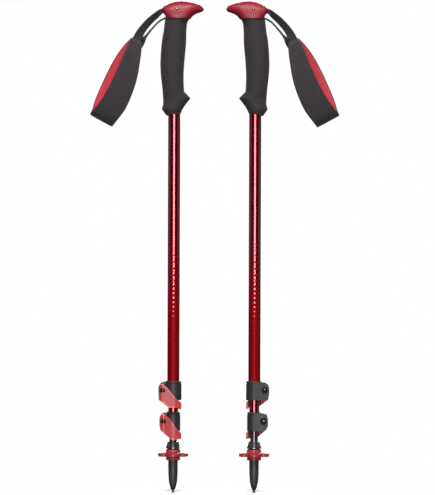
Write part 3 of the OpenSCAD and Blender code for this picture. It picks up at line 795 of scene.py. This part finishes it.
class POLES_OT_clamps(PolePiece, bpy.types.Operator):
    """Clamp collars with slit ears, barrel nuts, bolts and washers"""

    bl_idname = "poles.clamps"
    bl_label = "Clamps"

    def build(self):
        for level, z, tube_r, inner_r, body in (
                ("upper", UPPER_CLAMP_Z, UPPER_R, MIDDLE_R, "upper_section"),
                ("lower", LOWER_CLAMP_Z, MIDDLE_R, LOWER_R, "middle_section")):
            r = tube_r + BOND_GAP + COLLAR_WALL
            bolt_x = r + BOLT_OUT
            self.collar(level, z, tube_r, inner_r, r, bolt_x, body)
            self.hardware(level, z, bolt_x, body)

    def collar(self, level, z, tube_r, inner_r, r, bolt_x, body):
        top = z + CLAMP_H
        collar = turned("collar", [
            (r - 0.4, z), (r, z + 0.4), (r, top - 4.0), (r - 0.8, top - 3.7),
            (r - 0.8, top - 3.0), (r, top - 2.7), (r, top - 1.5), (r - 1.5, top)], 96)
        plan = [(-3, -4), (-bolt_x - 6, -4), (-bolt_x - 6, 8.9), (-bolt_x, 9.35),
                (-1.5, math.sqrt(r * r - 2.25) - 0.02), (-1.5, -4)]
        ears = plate("ears", plan, z - 1, top + 1, "Z")
        carve(ears, plate("outline", ear_outline(r, bolt_x, z), -30, 30), "INTERSECT")
        carve(collar, ears, "UNION")
        rise = z + BOLT_RISE
        carve(collar, lay_y("boss", -bolt_x, rise, [
            (5.7, 6), (5.7, 9.4), (5.35, 9.85), (4, 9.85)]), "UNION")
        carve(collar, turned("seat", [(tube_r + BOND_GAP, z + 1.5),
                                       (tube_r + BOND_GAP, z + 60)]))
        carve(collar, turned("throat", [(inner_r + BOND_GAP, z - 3),
                                         (inner_r + BOND_GAP, z + 60)]))
        slit = [(-60, z - 2), (-inner_r / 2, z - 2), (-inner_r / 2, z + 60), (-60, z + 60)]
        carve(collar, plate("slit", slit, -1, 1))
        carve(collar, lay_y("bolt hole", -bolt_x, rise,
                            [(BOLT_HOLE_R, -6), (BOLT_HOLE_R, 12)]))
        carve(collar, lay_y("pocket", -bolt_x, rise, [(4.8, SCREW_SEAT_Y), (4.8, 12)]))
        round_edges(collar, sizes().edge_round / MM, 35, 2)
        dress(collar, "nylon")
        smooth(collar, 34)
        pair(collar, f"{level}_collar", body, [f"{level}_clamp"])

    def hardware(self, level, z, bolt_x, body):
        rise = z + BOLT_RISE
        seat_y, top = SCREW_SEAT_Y, SCREW_SEAT_Y + 0.8
        washer = lay_y("washer", -bolt_x, rise, [
            (BOLT_HOLE_R, seat_y), (4.0, seat_y), (4.1, seat_y + 0.1), (4.1, seat_y + 0.7),
            (4.0, top), (BOLT_HOLE_R, top)])
        carve(washer, lay_y("hole", -bolt_x, rise, [(1.94, 0), (1.94, 12)]))
        # The washer is near-black: painted shade in the bolt pocket.
        dress(washer, "recess_painted_shade")
        smooth(washer, 30)
        pair(washer, f"{level}_bolt_washer", body, [f"{level}_washer"])
        bolt = lay_y("bolt", -bolt_x, rise, [
            (0.2, PIVOT_Y - 1.5), (0.9, PIVOT_Y - 1.35), (1.5, PIVOT_Y - 0.9),
            (1.9, PIVOT_Y - 0.2), (1.9, top), (3.3, top),
            (3.4, top + 0.15), (3.35, top + 0.5), (3.15, top + 0.95), (2.75, top + 1.45),
            (2.2, top + 1.85), (1.5, top + 2.15), (0.8, top + 2.32), (0.3, top + 2.36)])
        for turn in (0, 1):
            a, b = (2.0, 0.42) if turn else (0.42, 2.0)
            cross = [(-bolt_x - a, rise - b), (-bolt_x + a, rise - b),
                     (-bolt_x + a, rise + b), (-bolt_x - a, rise + b)]
            carve(bolt, plate("driver", cross, top + 0.9, top + 4))
        round_edges(bolt, 0.12, 50, 2)
        # The second finish, near-black, goes on the floor of the driver recess: painted shade in
        # the recess.
        dress(bolt, "bolt", "recess_painted_shade")
        for face in bolt.data.polygons:
            spot = face.center / MM
            near = math.hypot(spot.x + bolt_x, spot.z - rise) < 2.3
            face.material_index = int(near and face.normal.y > 0.9 and spot.y < top + 1.2)
        smooth(bolt, 34)
        pair(bolt, f"{level}_clamp_bolt", body, [f"{level}_bolt"])
        nut = turned("nut", [(2.5, rise - NUT_HALF), (3, rise - NUT_HALF + 0.5),
                             (3, rise + NUT_HALF - 0.5), (2.5, rise + NUT_HALF)], 48,
                     centre=(-bolt_x, PIVOT_Y))
        carve(nut, lay_y("thread", -bolt_x, rise, [(BOLT_HOLE_R, PIVOT_Y - 6),
                                                   (BOLT_HOLE_R, PIVOT_Y + 6)]))
        dress(nut, "dark_steel")
        smooth(nut, 34)
        pair(nut, f"{level}_nut", body, [f"{level}_barrel_nut"])


def arc_points(x, y, r, start, stop, count=14):
    return [(x + r * math.cos(math.radians(start + (stop - start) * i / count)),
             y + r * math.sin(math.radians(start + (stop - start) * i / count)))
            for i in range(count + 1)]


def within(spot, outline):
    """Whether a spot lies within a closed outline."""
    x, y = spot
    odd = False
    for (ax, ay), (bx, by) in zip(outline, outline[1:] + outline[:1]):
        if (ay > y) != (by > y) and x < ax + (bx - ax) * (y - ay) / (by - ay):
            odd = not odd
    return odd


def lever_outline(level, reach):
    """The lever seen from the front, measured from its bolt."""
    if level == "upper":
        return [(-5.4, 5), (-5.0, 6.6), (-4.1, 7.6), (-2.8, 8), (1, 8), (7, 2.4),
                (12.4, -4.4), (reach - 6.7, -11.2), (reach - 4, -13.3), (reach, -17.3),
                (reach, -24.8), (reach - 3.6, -25.2), (reach - 4, -22.8), (9.1, -23.1),
                (6.3, -21.5), (-5.4, -12.5)]
    return [(-5.4, 5.2), (-5.0, 6.9), (-4.0, 8.4), (-2.4, 9.4), (2.3, 8), (8.6, 3),
            (12.9, -3.8), (reach - 2.7, -13.7), (reach, -16.7), (reach, -23.8), (reach - 4, -23.8),
            *arc_points(13, -18.6, 6.3, -60, -140), (-4.5, -11.3), (-5.4, -5)]


class POLES_OT_levers(PolePiece, bpy.types.Operator):
    """Flick levers with a raised rim, a round window and a finger tab"""

    bl_idname = "poles.levers"
    bl_label = "Levers"

    def build(self):
        for level, z, tube_r, body in (("upper", UPPER_CLAMP_Z, UPPER_R, "upper_lever"),
                                       ("lower", LOWER_CLAMP_Z, MIDDLE_R, "lower_lever")):
            self.lever(level, z, tube_r + 2.9, body)

    def lever(self, level, z, r, body):
        bolt_x, rise, outer = r + BOLT_OUT, z + BOLT_RISE, r + 3.0
        reach = LEVER_REACH + bolt_x
        plan = turned("shell", [(outer, rise - 30), (outer, rise + 15)], 128)
        front = [(-bolt_x, rise - 31), (LEVER_REACH, rise - 31), (LEVER_REACH, rise + 16),
                 (-bolt_x, rise + 16)]
        carve(plan, plate("front", front, -outer - 1, -6), "INTERSECT")
        carve(plan, turned("eye", [(5.3, rise - 29.9), (5.3, rise + 14.9)], 64,
                           centre=(-bolt_x, PIVOT_Y)), "UNION")
        web = [(-bolt_x, PIVOT_Y - 5.3), (-2, -outer + 0.1), (-2, -r), (-bolt_x + 2, PIVOT_Y + 2)]
        carve(plan, plate("web", web, rise - 29.8, rise + 14.8, "Z"), "UNION")
        carve(plan, turned("room", [(r + 0.4, rise - 40), (r + 0.4, rise + 30)], 128))
        inside = LEVER_REACH - 2.5
        tab = [(inside, 0.4 - math.sqrt(outer ** 2 - inside ** 2)),
               (LEVER_REACH, 0.4 - math.sqrt(outer ** 2 - LEVER_REACH ** 2)),
               (LEVER_REACH, 1.0), (10.2, 2.0),
               (inside + 0.5, 2.0), (inside, 1.5)]
        carve(plan, plate("tab", tab, rise - 29.7, rise + 14.7, "Z"), "UNION")
        outline = [(x - bolt_x, h + rise) for x, h in lever_outline(level, reach)]
        carve(plan, plate("outline", outline, -40, 10), "INTERSECT")
        middle = self.field(plan, level, rise, r, bolt_x, reach, outer)
        carve(plan, turned("nut room", [(3.1, rise - 6.9), (3.1, rise + 6.9)], 48,
                           centre=(-bolt_x, PIVOT_Y)))
        room = 2.3
        slot = [(-bolt_x + room, PIVOT_Y), (-bolt_x + room, PIVOT_Y + 7.3),
                (-bolt_x - 8.3, PIVOT_Y + 7.3), (-bolt_x - 8.3, PIVOT_Y - 5.4),
                (-bolt_x, PIVOT_Y - room - 0.3)]
        carve(plan, plate("bolt slot", slot, rise - room, rise + room, "Z"))
        for shift in (0, 1.1):
            carve(plan, lay_y("window", -bolt_x - shift, rise,
                              [(3.2, PIVOT_Y - 6.3), (3.2, PIVOT_Y)]))
        round_edges(plan, sizes().edge_round / MM, 33, 2)
        # Front-facing faces outside the sunk field take the lighter rim finish: a painted highlight
        # along the lever's rim.
        dress(plan, "lever", "lever_rim_highlight")
        for face in plan.data.polygons:
            spot = face.center / MM
            face.material_index = int(face.normal.y < -0.25 and spot.y < -6
                                      and not within((spot.x, spot.z), middle))
        smooth(plan, 34)
        pair(plan, f"{level}_flick_lever", body, [f"{level}_lever"])

    def field(self, lever, level, rise, r, bolt_x, reach, outer):
        """Sinks the middle of the lever's face so that a rim stands round it."""
        if level == "upper":
            inner = [(-3.4, 4.6), (-2.6, 5.8), (0.6, 6.2), (6.0, 1.2), (11.4, -5.6),
                     (reach - 7.4, -12.2), (reach - 5.4, -14.2), (reach - 5.4, -21.4),
                     (9.6, -21.4), (7.0, -19.8), (-3.4, -11.4)]
        else:
            inner = [(-3.4, 5.0), (-2.2, 7.3), (1.8, 6.4), (7.6, 2.0), (11.9, -4.8),
                     (reach - 4.2, -14.6), (reach - 4.8, -19.0),
                     *arc_points(13, -18.6, 4.6, -50, -140, 8), (-3.0, -10.2)]
        inner = [(x - bolt_x, h + rise) for x, h in inner]
        sunk = plate("sunk", inner, -40, -6)
        carve(sunk, turned("floor", [(outer - 0.5, rise - 41), (outer - 0.5, rise + 31)], 128))
        carve(sunk, turned("eye floor", [(4.85, rise - 41), (4.85, rise + 31)], 64,
                           centre=(-bolt_x, PIVOT_Y)))
        web = [(-bolt_x, PIVOT_Y - 4.85), (-2, -outer + 0.6), (-2, -r), (-bolt_x + 2, PIVOT_Y + 2)]
        carve(sunk, plate("web floor", web, rise - 41, rise + 31, "Z"))
        carve(lever, sunk)
        line = [(7.4, rise - 30), (8.1, rise - 30), (8.1, rise - 9), (7.4, rise - 9)]
        groove = plate("groove", line, -40, -2)
        carve(groove, turned("groove floor", [(outer - 1, rise - 41), (outer - 1, rise + 31)], 128))
        carve(lever, groove)
        return inner


# ---------- tip, basket and collar ----------


class POLES_OT_tips(PolePiece, bpy.types.Operator):
    """Cone collars, four-lobed baskets, tip mouldings and hard-metal points"""

    bl_idname = "poles.tips"
    bl_label = "Tips and baskets"

    def build(self):
        z = CONE_Z
        cone = turned("cone", [
            (TUBE_BORE_R, z), (9.3, z), (9.75, z + 0.4), (9.75, z + 1.3), (9.4, z + 1.7),
            (9.0, z + 2.0), (7.4, z + 7.6), (7.3, z + 8.6), (7.0, z + 9.15), (6.6, z + 9.3),
            (TUBE_BORE_R, z + 9.3)], 96, True)
        dress(cone, "gloss_black")
        smooth(cone, 28)
        pair(cone, "cone_collar", "lower_section", ["tip_collar"])
        self.basket()
        self.tip()

    def basket(self):
        sides = 144

        def lobed(base, lobe, z):
            """A ring that goes from a circle at lobe 0 to the full four-lobed outline at 1."""
            ring = []
            for k in range(sides):
                a = 2 * math.pi * k / sides
                turn = (a + math.pi / 4) % (math.pi / 2) - math.pi / 4
                s = LOBE_OUT * math.sin(turn)
                reach = LOBE_OUT * math.cos(turn) + math.sqrt(LOBE_R * LOBE_R - s * s) \
                    if abs(s) < LOBE_R and abs(turn) < 0.6 else 0
                rr = base + (max(reach, VALLEY_R) - base) * lobe
                ring.append((rr * math.cos(a), rr * math.sin(a), z))
            return ring

        def flat(r, z):
            return lobed(r, 0, z)

        rings = [flat(6.55, 43.2), flat(9.1, 43.2), flat(9.55, 43.5), flat(9.6, 44.6),
                 flat(9.2, 45.0), flat(9.25, 47.2), lobed(9.6, 0.12, 47.6),
                 lobed(9.9, 0.5, 47.75), lobed(9.9, 0.88, 47.8), lobed(9.9, 0.965, 48.05),
                 lobed(9.9, 1.0, 48.6), lobed(9.9, 1.0, 51.3), lobed(9.9, 0.97, 52.1),
                 lobed(9.9, 0.88, 52.6), lobed(9.9, 0.5, 53.3), lobed(9.9, 0.12, 53.8),
                 flat(9.9, 54.0), flat(9.85, 54.8), flat(9.5, 55.9), flat(8.8, 57.0),
                 flat(8.0, 57.8), flat(7.2, 58.1), flat(6.55, 58.1)]
        basket = skin("basket", rings, True)
        dress(basket, "basket")
        smooth(basket, 30)
        pair(basket, "snow_basket", "lower_section", ["basket"])

    def tip(self):
        r, nose = 6.5, 3.0
        profile = [(1.6, nose), (2.2, nose + 0.25), (2.9, nose + 1.4), (3.1, nose + 2.3),
                   (r - 2.3, nose + 4.6), (r - 1.9, nose + 5.6), (r - 1.5, nose + 7.6),
                   (r - 0.8, nose + 14), (r - 0.3, nose + 22), (r - 0.12, 33.4)]
        for i in range(3):
            z = 34 + i * 2.6
            profile += [(r - 0.3, z), (r + 0.35, z + 0.25), (r + 0.35, z + 0.85),
                        (r - 0.3, z + 1.2), (r - 0.35, z + 2.0)]
        profile += [(r, 41.4), (r, 58.0), (r - 0.3, 58.3), (TUBE_BORE_R, 58.3),
                    (TUBE_BORE_R, 24.0)]
        tip = turned("tip", [(1.55, 12.0), (1.55, nose + 0.2), *profile, (0.4, 24.0),
                             (0.4, 12.0)], 96, True)
        dress(tip, "tip")
        smooth(tip, 26)
        pair(tip, "tip_moulding", "lower_section", ["tip_body"])
        point = turned("point", [(0.2, 0.3), (0.9, 0.42), (1.35, 0.2), (1.6, 0.0), (1.9, 0.0),
                                 (1.85, 0.5), (1.35, 2.2), (1.2, 2.6), (1.5, 2.9), (1.5, 11.2),
                                 (1.2, 11.5), (0.2, 11.5)], 48)
        dress(point, "carbide")
        smooth(point, 30)
        pair(point, "metal_point", "lower_section", ["carbide_tip"])


# ---------- wrist straps ----------

# Drop under the cap line, x of the near and far runs, half gap, width, tilt
LOOP = [
    (29.5, -50.2, -51.8, 1.9, 15, 32), (40, -53.0, -59.5, 7, 20, 23),
    (54.5, -56.8, -67.8, 11, 24, 20), (74.5, -62.6, -76.0, 14, 29, 20.5),
    (94.5, -70.2, -83.6, 14.5, 32, 23), (114.5, -80.6, -90.8, 12.2, 34, 26.5),
    (129.5, -92.2, -95.2, 7.5, 34, 28.5),
]
FOLD = (134.6, -96.9, 34, 28.7)
LOOP_ROWS = ([(s[1], -s[3], CAP_Z - s[0], s[4], s[5]) for s in LOOP]
             + [(FOLD[1], 0, CAP_Z - FOLD[0], FOLD[2], FOLD[3])]
             + [(s[2], s[3], CAP_Z - s[0], s[4], s[5]) for s in reversed(LOOP)])
# x, y, height over the cap line, twist out of flat
UPPER_STRAND = [
    (-12.2, 0, 11.8, 76), (-18.2, 0, 10.0, 68), (-23.4, -0.2, 5.6, 58), (-33, -1, -2.8, 50),
    (-43, -2, -14.6, 42), (-50.0, -2.8, -27.4, 20), (-51.6, -3.7, -35, 4),
]
LOWER_STRAND = [
    (-12.2, 0, 1.3, 90), (-19.6, 0, -2.6, 90), (-24.2, 0.1, -6.8, 90), (-32.6, 0.6, -16.2, 88),
    (-38.8, 1.4, -24.0, 80), (-43.8, 2.2, -29.4, 44), (-48.6, 2.3, -35.4, 10),
]


def strip_frame(rows, u, width_way):
    """Centre, width direction and outward face of a strip at u."""
    last = len(rows) - 1
    a, b = along(rows, max(u - 0.05, 0)), along(rows, min(u + 0.05, last))
    t = (Vector(b[:3]) - Vector(a[:3])).normalized()
    row = along(rows, u)
    w = width_way(row, t)
    n = t.cross(w).normalized()
    return Vector(row[:3]), w, n, row


def band_way(row, t):
    a = math.radians(row[4])
    return Vector((math.cos(a), 0, -math.sin(a)))


def strand_way(row, t):
    flat = Vector((-t.z, 0, t.x)).normalized()
    a = math.radians(row[3])
    return flat * math.cos(a) + Vector((0, math.sin(a), 0))


def ribbon(name, across, steps, point):
    """A grid laid along a path: point(share across from -1 to 1, share along) in millimetres."""
    nothing()
    bpy.ops.mesh.primitive_grid_add(x_subdivisions=across, y_subdivisions=steps, size=MM,
                                    calc_uvs=True)
    obj = new_piece(name)
    for k, vert in enumerate(obj.data.vertices):
        i, j = k % (across + 1), k // (across + 1)
        vert.co = Vector(point(2 * i / across - 1, j / steps)) * MM
    return obj


def thicken(obj, thickness, offset=0.0, round_mm=0.5):
    alone(obj)
    mod = obj.modifiers.new("thickness", "SOLIDIFY")
    mod.thickness, mod.offset, mod.use_even_offset = thickness * MM, offset, False
    bpy.ops.object.modifier_apply(modifier=mod.name)
    tidy_normals(obj)
    if round_mm:
        mod = obj.modifiers.new("round", "BEVEL")
        mod.width, mod.segments = round_mm * MM, 2
        mod.limit_method, mod.angle_limit = "ANGLE", math.radians(55)
        bpy.ops.object.modifier_apply(modifier=mod.name)
    return obj


def path_length(rows, way, steps=200):
    total, last = 0.0, None
    for i in range(steps + 1):
        c = strip_frame(rows, (len(rows) - 1) * i / steps, way)[0]
        total += (c - last).length if last else 0
        last = c
    return total


def stitches(name, spots, size=(0.42, 0.26, 1.9)):
    """One stitch modelled once and set at each (point, direction, face) in millimetres."""
    nothing()
    bpy.ops.mesh.primitive_uv_sphere_add(segments=6, ring_count=4, radius=0.5)
    one = new_piece("stitch")
    bpy.ops.transform.resize(value=[s * MM for s in size], center_override=(0, 0, 0))
    bpy.ops.object.transform_apply(location=True, rotation=True, scale=True)
    bm, seed = bmesh.new(), one.data
    for point, t, n in spots:
        side = t.cross(n).normalized()
        up = side.cross(t).normalized()
        turn = Matrix((side, up, t)).transposed().to_4x4()
        start = len(bm.verts)
        bm.from_mesh(seed)
        bm.verts.ensure_lookup_table()
        bmesh.ops.transform(bm, matrix=Matrix.Translation(Vector(point) * MM) @ turn,
                            verts=bm.verts[start:])
    made = bpy.data.meshes.new(name)
    bm.to_mesh(made)
    bm.free()
    bpy.data.objects.remove(one, do_unlink=True)
    obj = bpy.data.objects.new(name, made)
    bpy.context.scene.collection.objects.link(obj)
    return obj


class POLES_OT_straps(PolePiece, bpy.types.Operator):
    """Wrist straps: webbing strands, padded band, lining and their stitching"""

    bl_idname = "poles.straps"
    bl_label = "Wrist straps"

    def build(self):
        last = len(LOOP_ROWS) - 1
        bulge = sizes().band_bulge / MM

        def layer(rest, swell, share):
            def point(s, v):
                c, w, n, row = strip_frame(LOOP_ROWS, last * v, band_way)
                crown = swell * (1 - abs(s) ** 3)
                return c + w * ((row[3] / 2 - 0.6) * s * share) + n * (rest + crown)
            return point
        length = path_length(LOOP_ROWS, band_way)
        outer = thicken(ribbon("outer", 14, 120, layer(0.85, bulge * 0.6, 1.0)), 1.5, 0, 0.55)
        dress(outer, "band")
        smooth(outer, 50)
        lining = thicken(ribbon("lining", 14, 120, layer(-0.72, -bulge * 0.5, 0.985)), 1.3, 0, 0.5)
        dress(lining, "lining")
        smooth(lining, 50)
        outers = pair(outer, "band_cloth", "strap", ["strap_band"], True)
        linings = pair(lining, "band_padding", "strap", ["strap_lining"], True)
        seams = pair(self.seams(length), "band_stitching", "strap", [], True)
        edges = pair(self.binding(), "band_binding", "strap", [], True)
        strands = pair(self.strands(), "webbing_strands", None, ["strap_webbing"],
                       True)
        joints = pair(self.joint(), "joint_patch", "strap", [], True)
        for side, strand, out, inn, seam, joint, edge in zip(
                SIDES, strands, outers, linings, seams, joints, edges):
            way = 1 if side == "left" else -1
            way * (-POLE_X - 17.5) * MM
            way * (-POLE_X - 27) * MM
            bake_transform(strand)
            length * MM
            length * MM

    def seams(self, length):
        spots, last = [], len(LOOP_ROWS) - 1
        count = int(length * MM / sizes().stitch_pitch)
        for s in (-0.86, 0.86):
            for i in range(1, count):
                c, w, n, row = strip_frame(LOOP_ROWS, last * i / count, band_way)
                d = strip_frame(LOOP_ROWS, last * (i + 0.4) / count, band_way)[0] - c
                lift = sizes().band_bulge / MM * 0.6 * (1 - abs(s) ** 3) + 1.58
                spots.append((c + w * (row[3] / 2 * s) + n * lift, d.normalized(), n))
        obj = stitches("seams", spots)
        dress(obj, "black_thread")
        return smooth(obj, 60)

    def binding(self):
        """Folded tape that closes both edges of the band."""
        made, last, steps, sides = [], len(LOOP_ROWS) - 1, 120, 12
        for edge in (-1, 1):
            rings = []
            for i in range(steps + 1):
                c, w, n, row = strip_frame(LOOP_ROWS, last * i / steps, band_way)
                middle = c + w * (edge * (row[3] / 2 - 0.75)) + n * 0.1
                rings.append([middle + w * (0.75 * math.cos(a)) + n * (
                    1.62 * math.copysign(abs(math.sin(a)) ** 0.7, math.sin(a)))
                    for a in (2 * math.pi * k / sides for k in range(sides))])
            made.append(skin("edge", rings))
        alone(made[0])
        made[1].select_set(True)
        bpy.ops.object.join()
        obj = bpy.context.object
        dress(obj, "tape")
        return smooth(obj, 60)

    def strands(self):
        half = sizes().webbing_width / MM / 2
        made = []
        for rows in (UPPER_STRAND, LOWER_STRAND):
            raised = [(r[0], r[1], r[2] + CAP_Z, r[3]) for r in rows]

            def point(s, v, raised=raised):
                c, w, n, _ = strip_frame(raised, (len(raised) - 1) * v, strand_way)
                return c + w * (half * s) + n * (0.12 * (1 - s * s))
            made.append(thicken(ribbon("strand", 10, 48, point), 1.55, 0, 0.4))
        alone(made[0])
        made[1].select_set(True)
        bpy.ops.object.join()
        obj = bpy.context.object
        dress(obj, "webbing")
        return smooth(obj, 50)

    def joint(self):
        """The sewn patch where both strands meet the band."""
        def point(s, v):
            c, w, n, row = strip_frame(LOOP_ROWS, 0.05 + 0.55 * v, band_way)
            return c + w * (row[3] * 0.36 * s) + n * 2.25
        patch = thicken(ribbon("patch", 8, 12, point), 0.8, 0, 0.3)
        dress(patch, "webbing", "black_thread")
        spots = []
        for s, v in ([(-0.8, k / 9) for k in range(10)] + [(0.8, k / 9) for k in range(10)]
                     + [(k / 5 - 0.8, 0.08) for k in range(9)]
                     + [(k / 5 - 0.8, 0.94) for k in range(9)]
                     + [(k * 0.16 - 0.8, k / 10) for k in range(11)]
                     + [(0.8 - k * 0.16, k / 10) for k in range(11)]):
            c, w, n, row = strip_frame(LOOP_ROWS, 0.05 + 0.55 * v, band_way)
            along_band = n.cross(w).normalized()
            spots.append((c + w * (row[3] * 0.36 * s) + n * 2.7, -along_band, n))
        seam = stitches("patch stitches", spots, (0.4, 0.25, 1.5))
        dress(seam, "black_thread")
        alone(patch)
        seam.select_set(True)
        bpy.ops.object.join()
        return smooth(bpy.context.object, 50)


# ---------- frame pieces that keep their own shape ----------


class POLES_OT_hidden(PolePiece, bpy.types.Operator):
    """Finishes for the liners, bushes, wedges and anchors inside the poles"""

    bl_idname = "poles.hidden"
    bl_label = "Inner pieces"

    def build(self):
        for side in SIDES:
            for part in ("upper_liner", "lower_liner", "middle_bush", "lower_bush",
                         "strap_wedge", "strap_anchor"):
                for slot in bpy.data.objects[f"{side}_{part}"].material_slots:
                    slot.material = FINISH["inner_nylon"]


# ---------- stage ----------


class POLES_OT_stage(PolePiece, bpy.types.Operator):
    """Pale floor, soft lights and the camera"""

    bl_idname = "poles.stage"
    bl_label = "Studio"

    def build(self):
        scene = bpy.context.scene
        scene.view_settings.view_transform = "Standard"
        nothing()
        bpy.ops.mesh.primitive_circle_add(vertices=96, radius=FLOOR_R, fill_type="NGON",
                                          location=(0, 0, -0.0006))
        floor = new_piece("floor")
        bpy.ops.object.transform_apply(location=True, rotation=True, scale=True)
        f = Finish("pale floor", Roughness=0.9, Emission_Strength=1.0)
        far = f.place().sum("LENGTH")
        far = Wire(f.tree, far.socket.node.outputs["Value"])
        glow = f.fade(far, SHADOW_START, SHADOW_END, 0.08, 1.0)
        floor.data.materials.append(f.drive(
            Base_Color=f.mix(f.noise(f.place(), 0.01), (0.86, 0.86, 0.86), (0.9, 0.9, 0.9)),
            Emission_Color=f.mix(glow, (0, 0, 0), (1, 1, 1))))
        floor.visible_diffuse = floor.visible_glossy = False
        world = bpy.data.worlds.new("studio")
        scene.world = world
        world.use_nodes = True
        tree = world.node_tree
        tree.nodes.clear()
        skies = [tree.nodes.new("ShaderNodeBackground") for _ in range(3)]
        for sky, strength in zip(skies, (0.06, 0.02, 1.0)):
            sky.inputs[0].default_value = (1, 1, 1, 1)
            sky.inputs[1].default_value = strength
        path, room, choice, out = (tree.nodes.new("ShaderNode" + k) for k in (
            "LightPath", "MixShader", "MixShader", "OutputWorld"))
        tree.links.new(path.outputs["Is Glossy Ray"], room.inputs[0])
        tree.links.new(skies[0].outputs[0], room.inputs[1])
        tree.links.new(skies[1].outputs[0], room.inputs[2])
        tree.links.new(path.outputs["Is Camera Ray"], choice.inputs[0])
        tree.links.new(room.outputs[0], choice.inputs[1])
        tree.links.new(skies[2].outputs[0], choice.inputs[2])
        tree.links.new(choice.outputs[0], out.inputs[0])
        self.lamp("front box", (0.0, -4.2, 0.3), (0, 0, 0.3), (1.7, 1.7), 108)
        self.lamp("top box", (0, -1.2, 2.4), (0, 0, 0.4), (1.4, 0.9), 52)
        self.lamp("upper box", (0, -3.0, 2.3), (0, 0, 0.2), (1.4, 0.6), 30)
        self.lamp("left box", (-2.6, -1.6, 0.8), (0, 0, 0.4), (0.5, 1.8), 5, False)
        self.lamp("right box", (2.6, -1.6, 0.8), (0, 0, 0.4), (0.5, 1.8), 5, False)
        self.lamp("left wall", (-3.0, 0.2, 0.4), (0, 0, 0.4), (2.4, 2.0), 4.5)
        self.lamp("right wall", (3.0, 0.2, 0.4), (0, 0, 0.4), (2.4, 2.0), 4.5)
        self.lamp("back box", (0.3, 2.8, 1.6), (0, 0, 0.35), (1.8, 1.6), 95)
        data = bpy.data.cameras.new("camera")
        data.lens, data.sensor_width = 180, 36
        camera = bpy.data.objects.new("camera", data)
        camera.location = (0.0043, -3.3, 0.3265)
        camera.rotation_euler = (math.radians(90), math.radians(-0.2), 0)
        scene.collection.objects.link(camera)
        scene.camera = camera

    def lamp(self, name, place, target, size, watts, mirrored=True):
        data = bpy.data.lights.new(name, "AREA")
        data.shape, data.size, data.size_y, data.energy = "RECTANGLE", *size, watts
        lamp = bpy.data.objects.new(name, data)
        lamp.location = place
        lamp.visible_camera, lamp.visible_glossy = False, mirrored
        lamp.rotation_euler = (Vector(target) - Vector(place)).to_track_quat("-Z", "Y").to_euler()
        bpy.context.scene.collection.objects.link(lamp)


PIECES = (POLES_OT_caps, POLES_OT_grips, POLES_OT_tubes, POLES_OT_clamps, POLES_OT_levers,
          POLES_OT_tips, POLES_OT_straps, POLES_OT_hidden, POLES_OT_stage)


class POLES_PT_panel(bpy.types.Panel):
    """Lists the poles' pieces"""

    bl_label = "Trekking poles"
    bl_idname = "POLES_PT_panel"
    bl_space_type = "VIEW_3D"
    bl_region_type = "UI"
    bl_category = "Trekking Poles"

    def draw(self, context):
        for group in (context.scene.pole_sizes, context.scene.pole_colours):
            for name in group.bl_rna.properties.keys():
                if name not in ("rna_type", "name"):
                    self.layout.prop(group, name)
        for piece in PIECES:
            self.layout.operator(piece.bl_idname)


CLASSES = (PoleSizes, PoleColours, *PIECES, POLES_PT_panel)


def register():
    for cls in CLASSES:
        bpy.utils.register_class(cls)
    bpy.types.Scene.pole_sizes = bpy.props.PointerProperty(type=PoleSizes)
    bpy.types.Scene.pole_colours = bpy.props.PointerProperty(type=PoleColours)


def unregister():
    del bpy.types.Scene.pole_colours
    del bpy.types.Scene.pole_sizes
    for cls in reversed(CLASSES):
        bpy.utils.unregister_class(cls)


def main():
    register()
    FINISH.update(make_finishes())
    for piece in PIECES:
        getattr(bpy.ops.poles, piece.bl_idname.split(".")[1])()


if __name__ == "__main__":
    main()
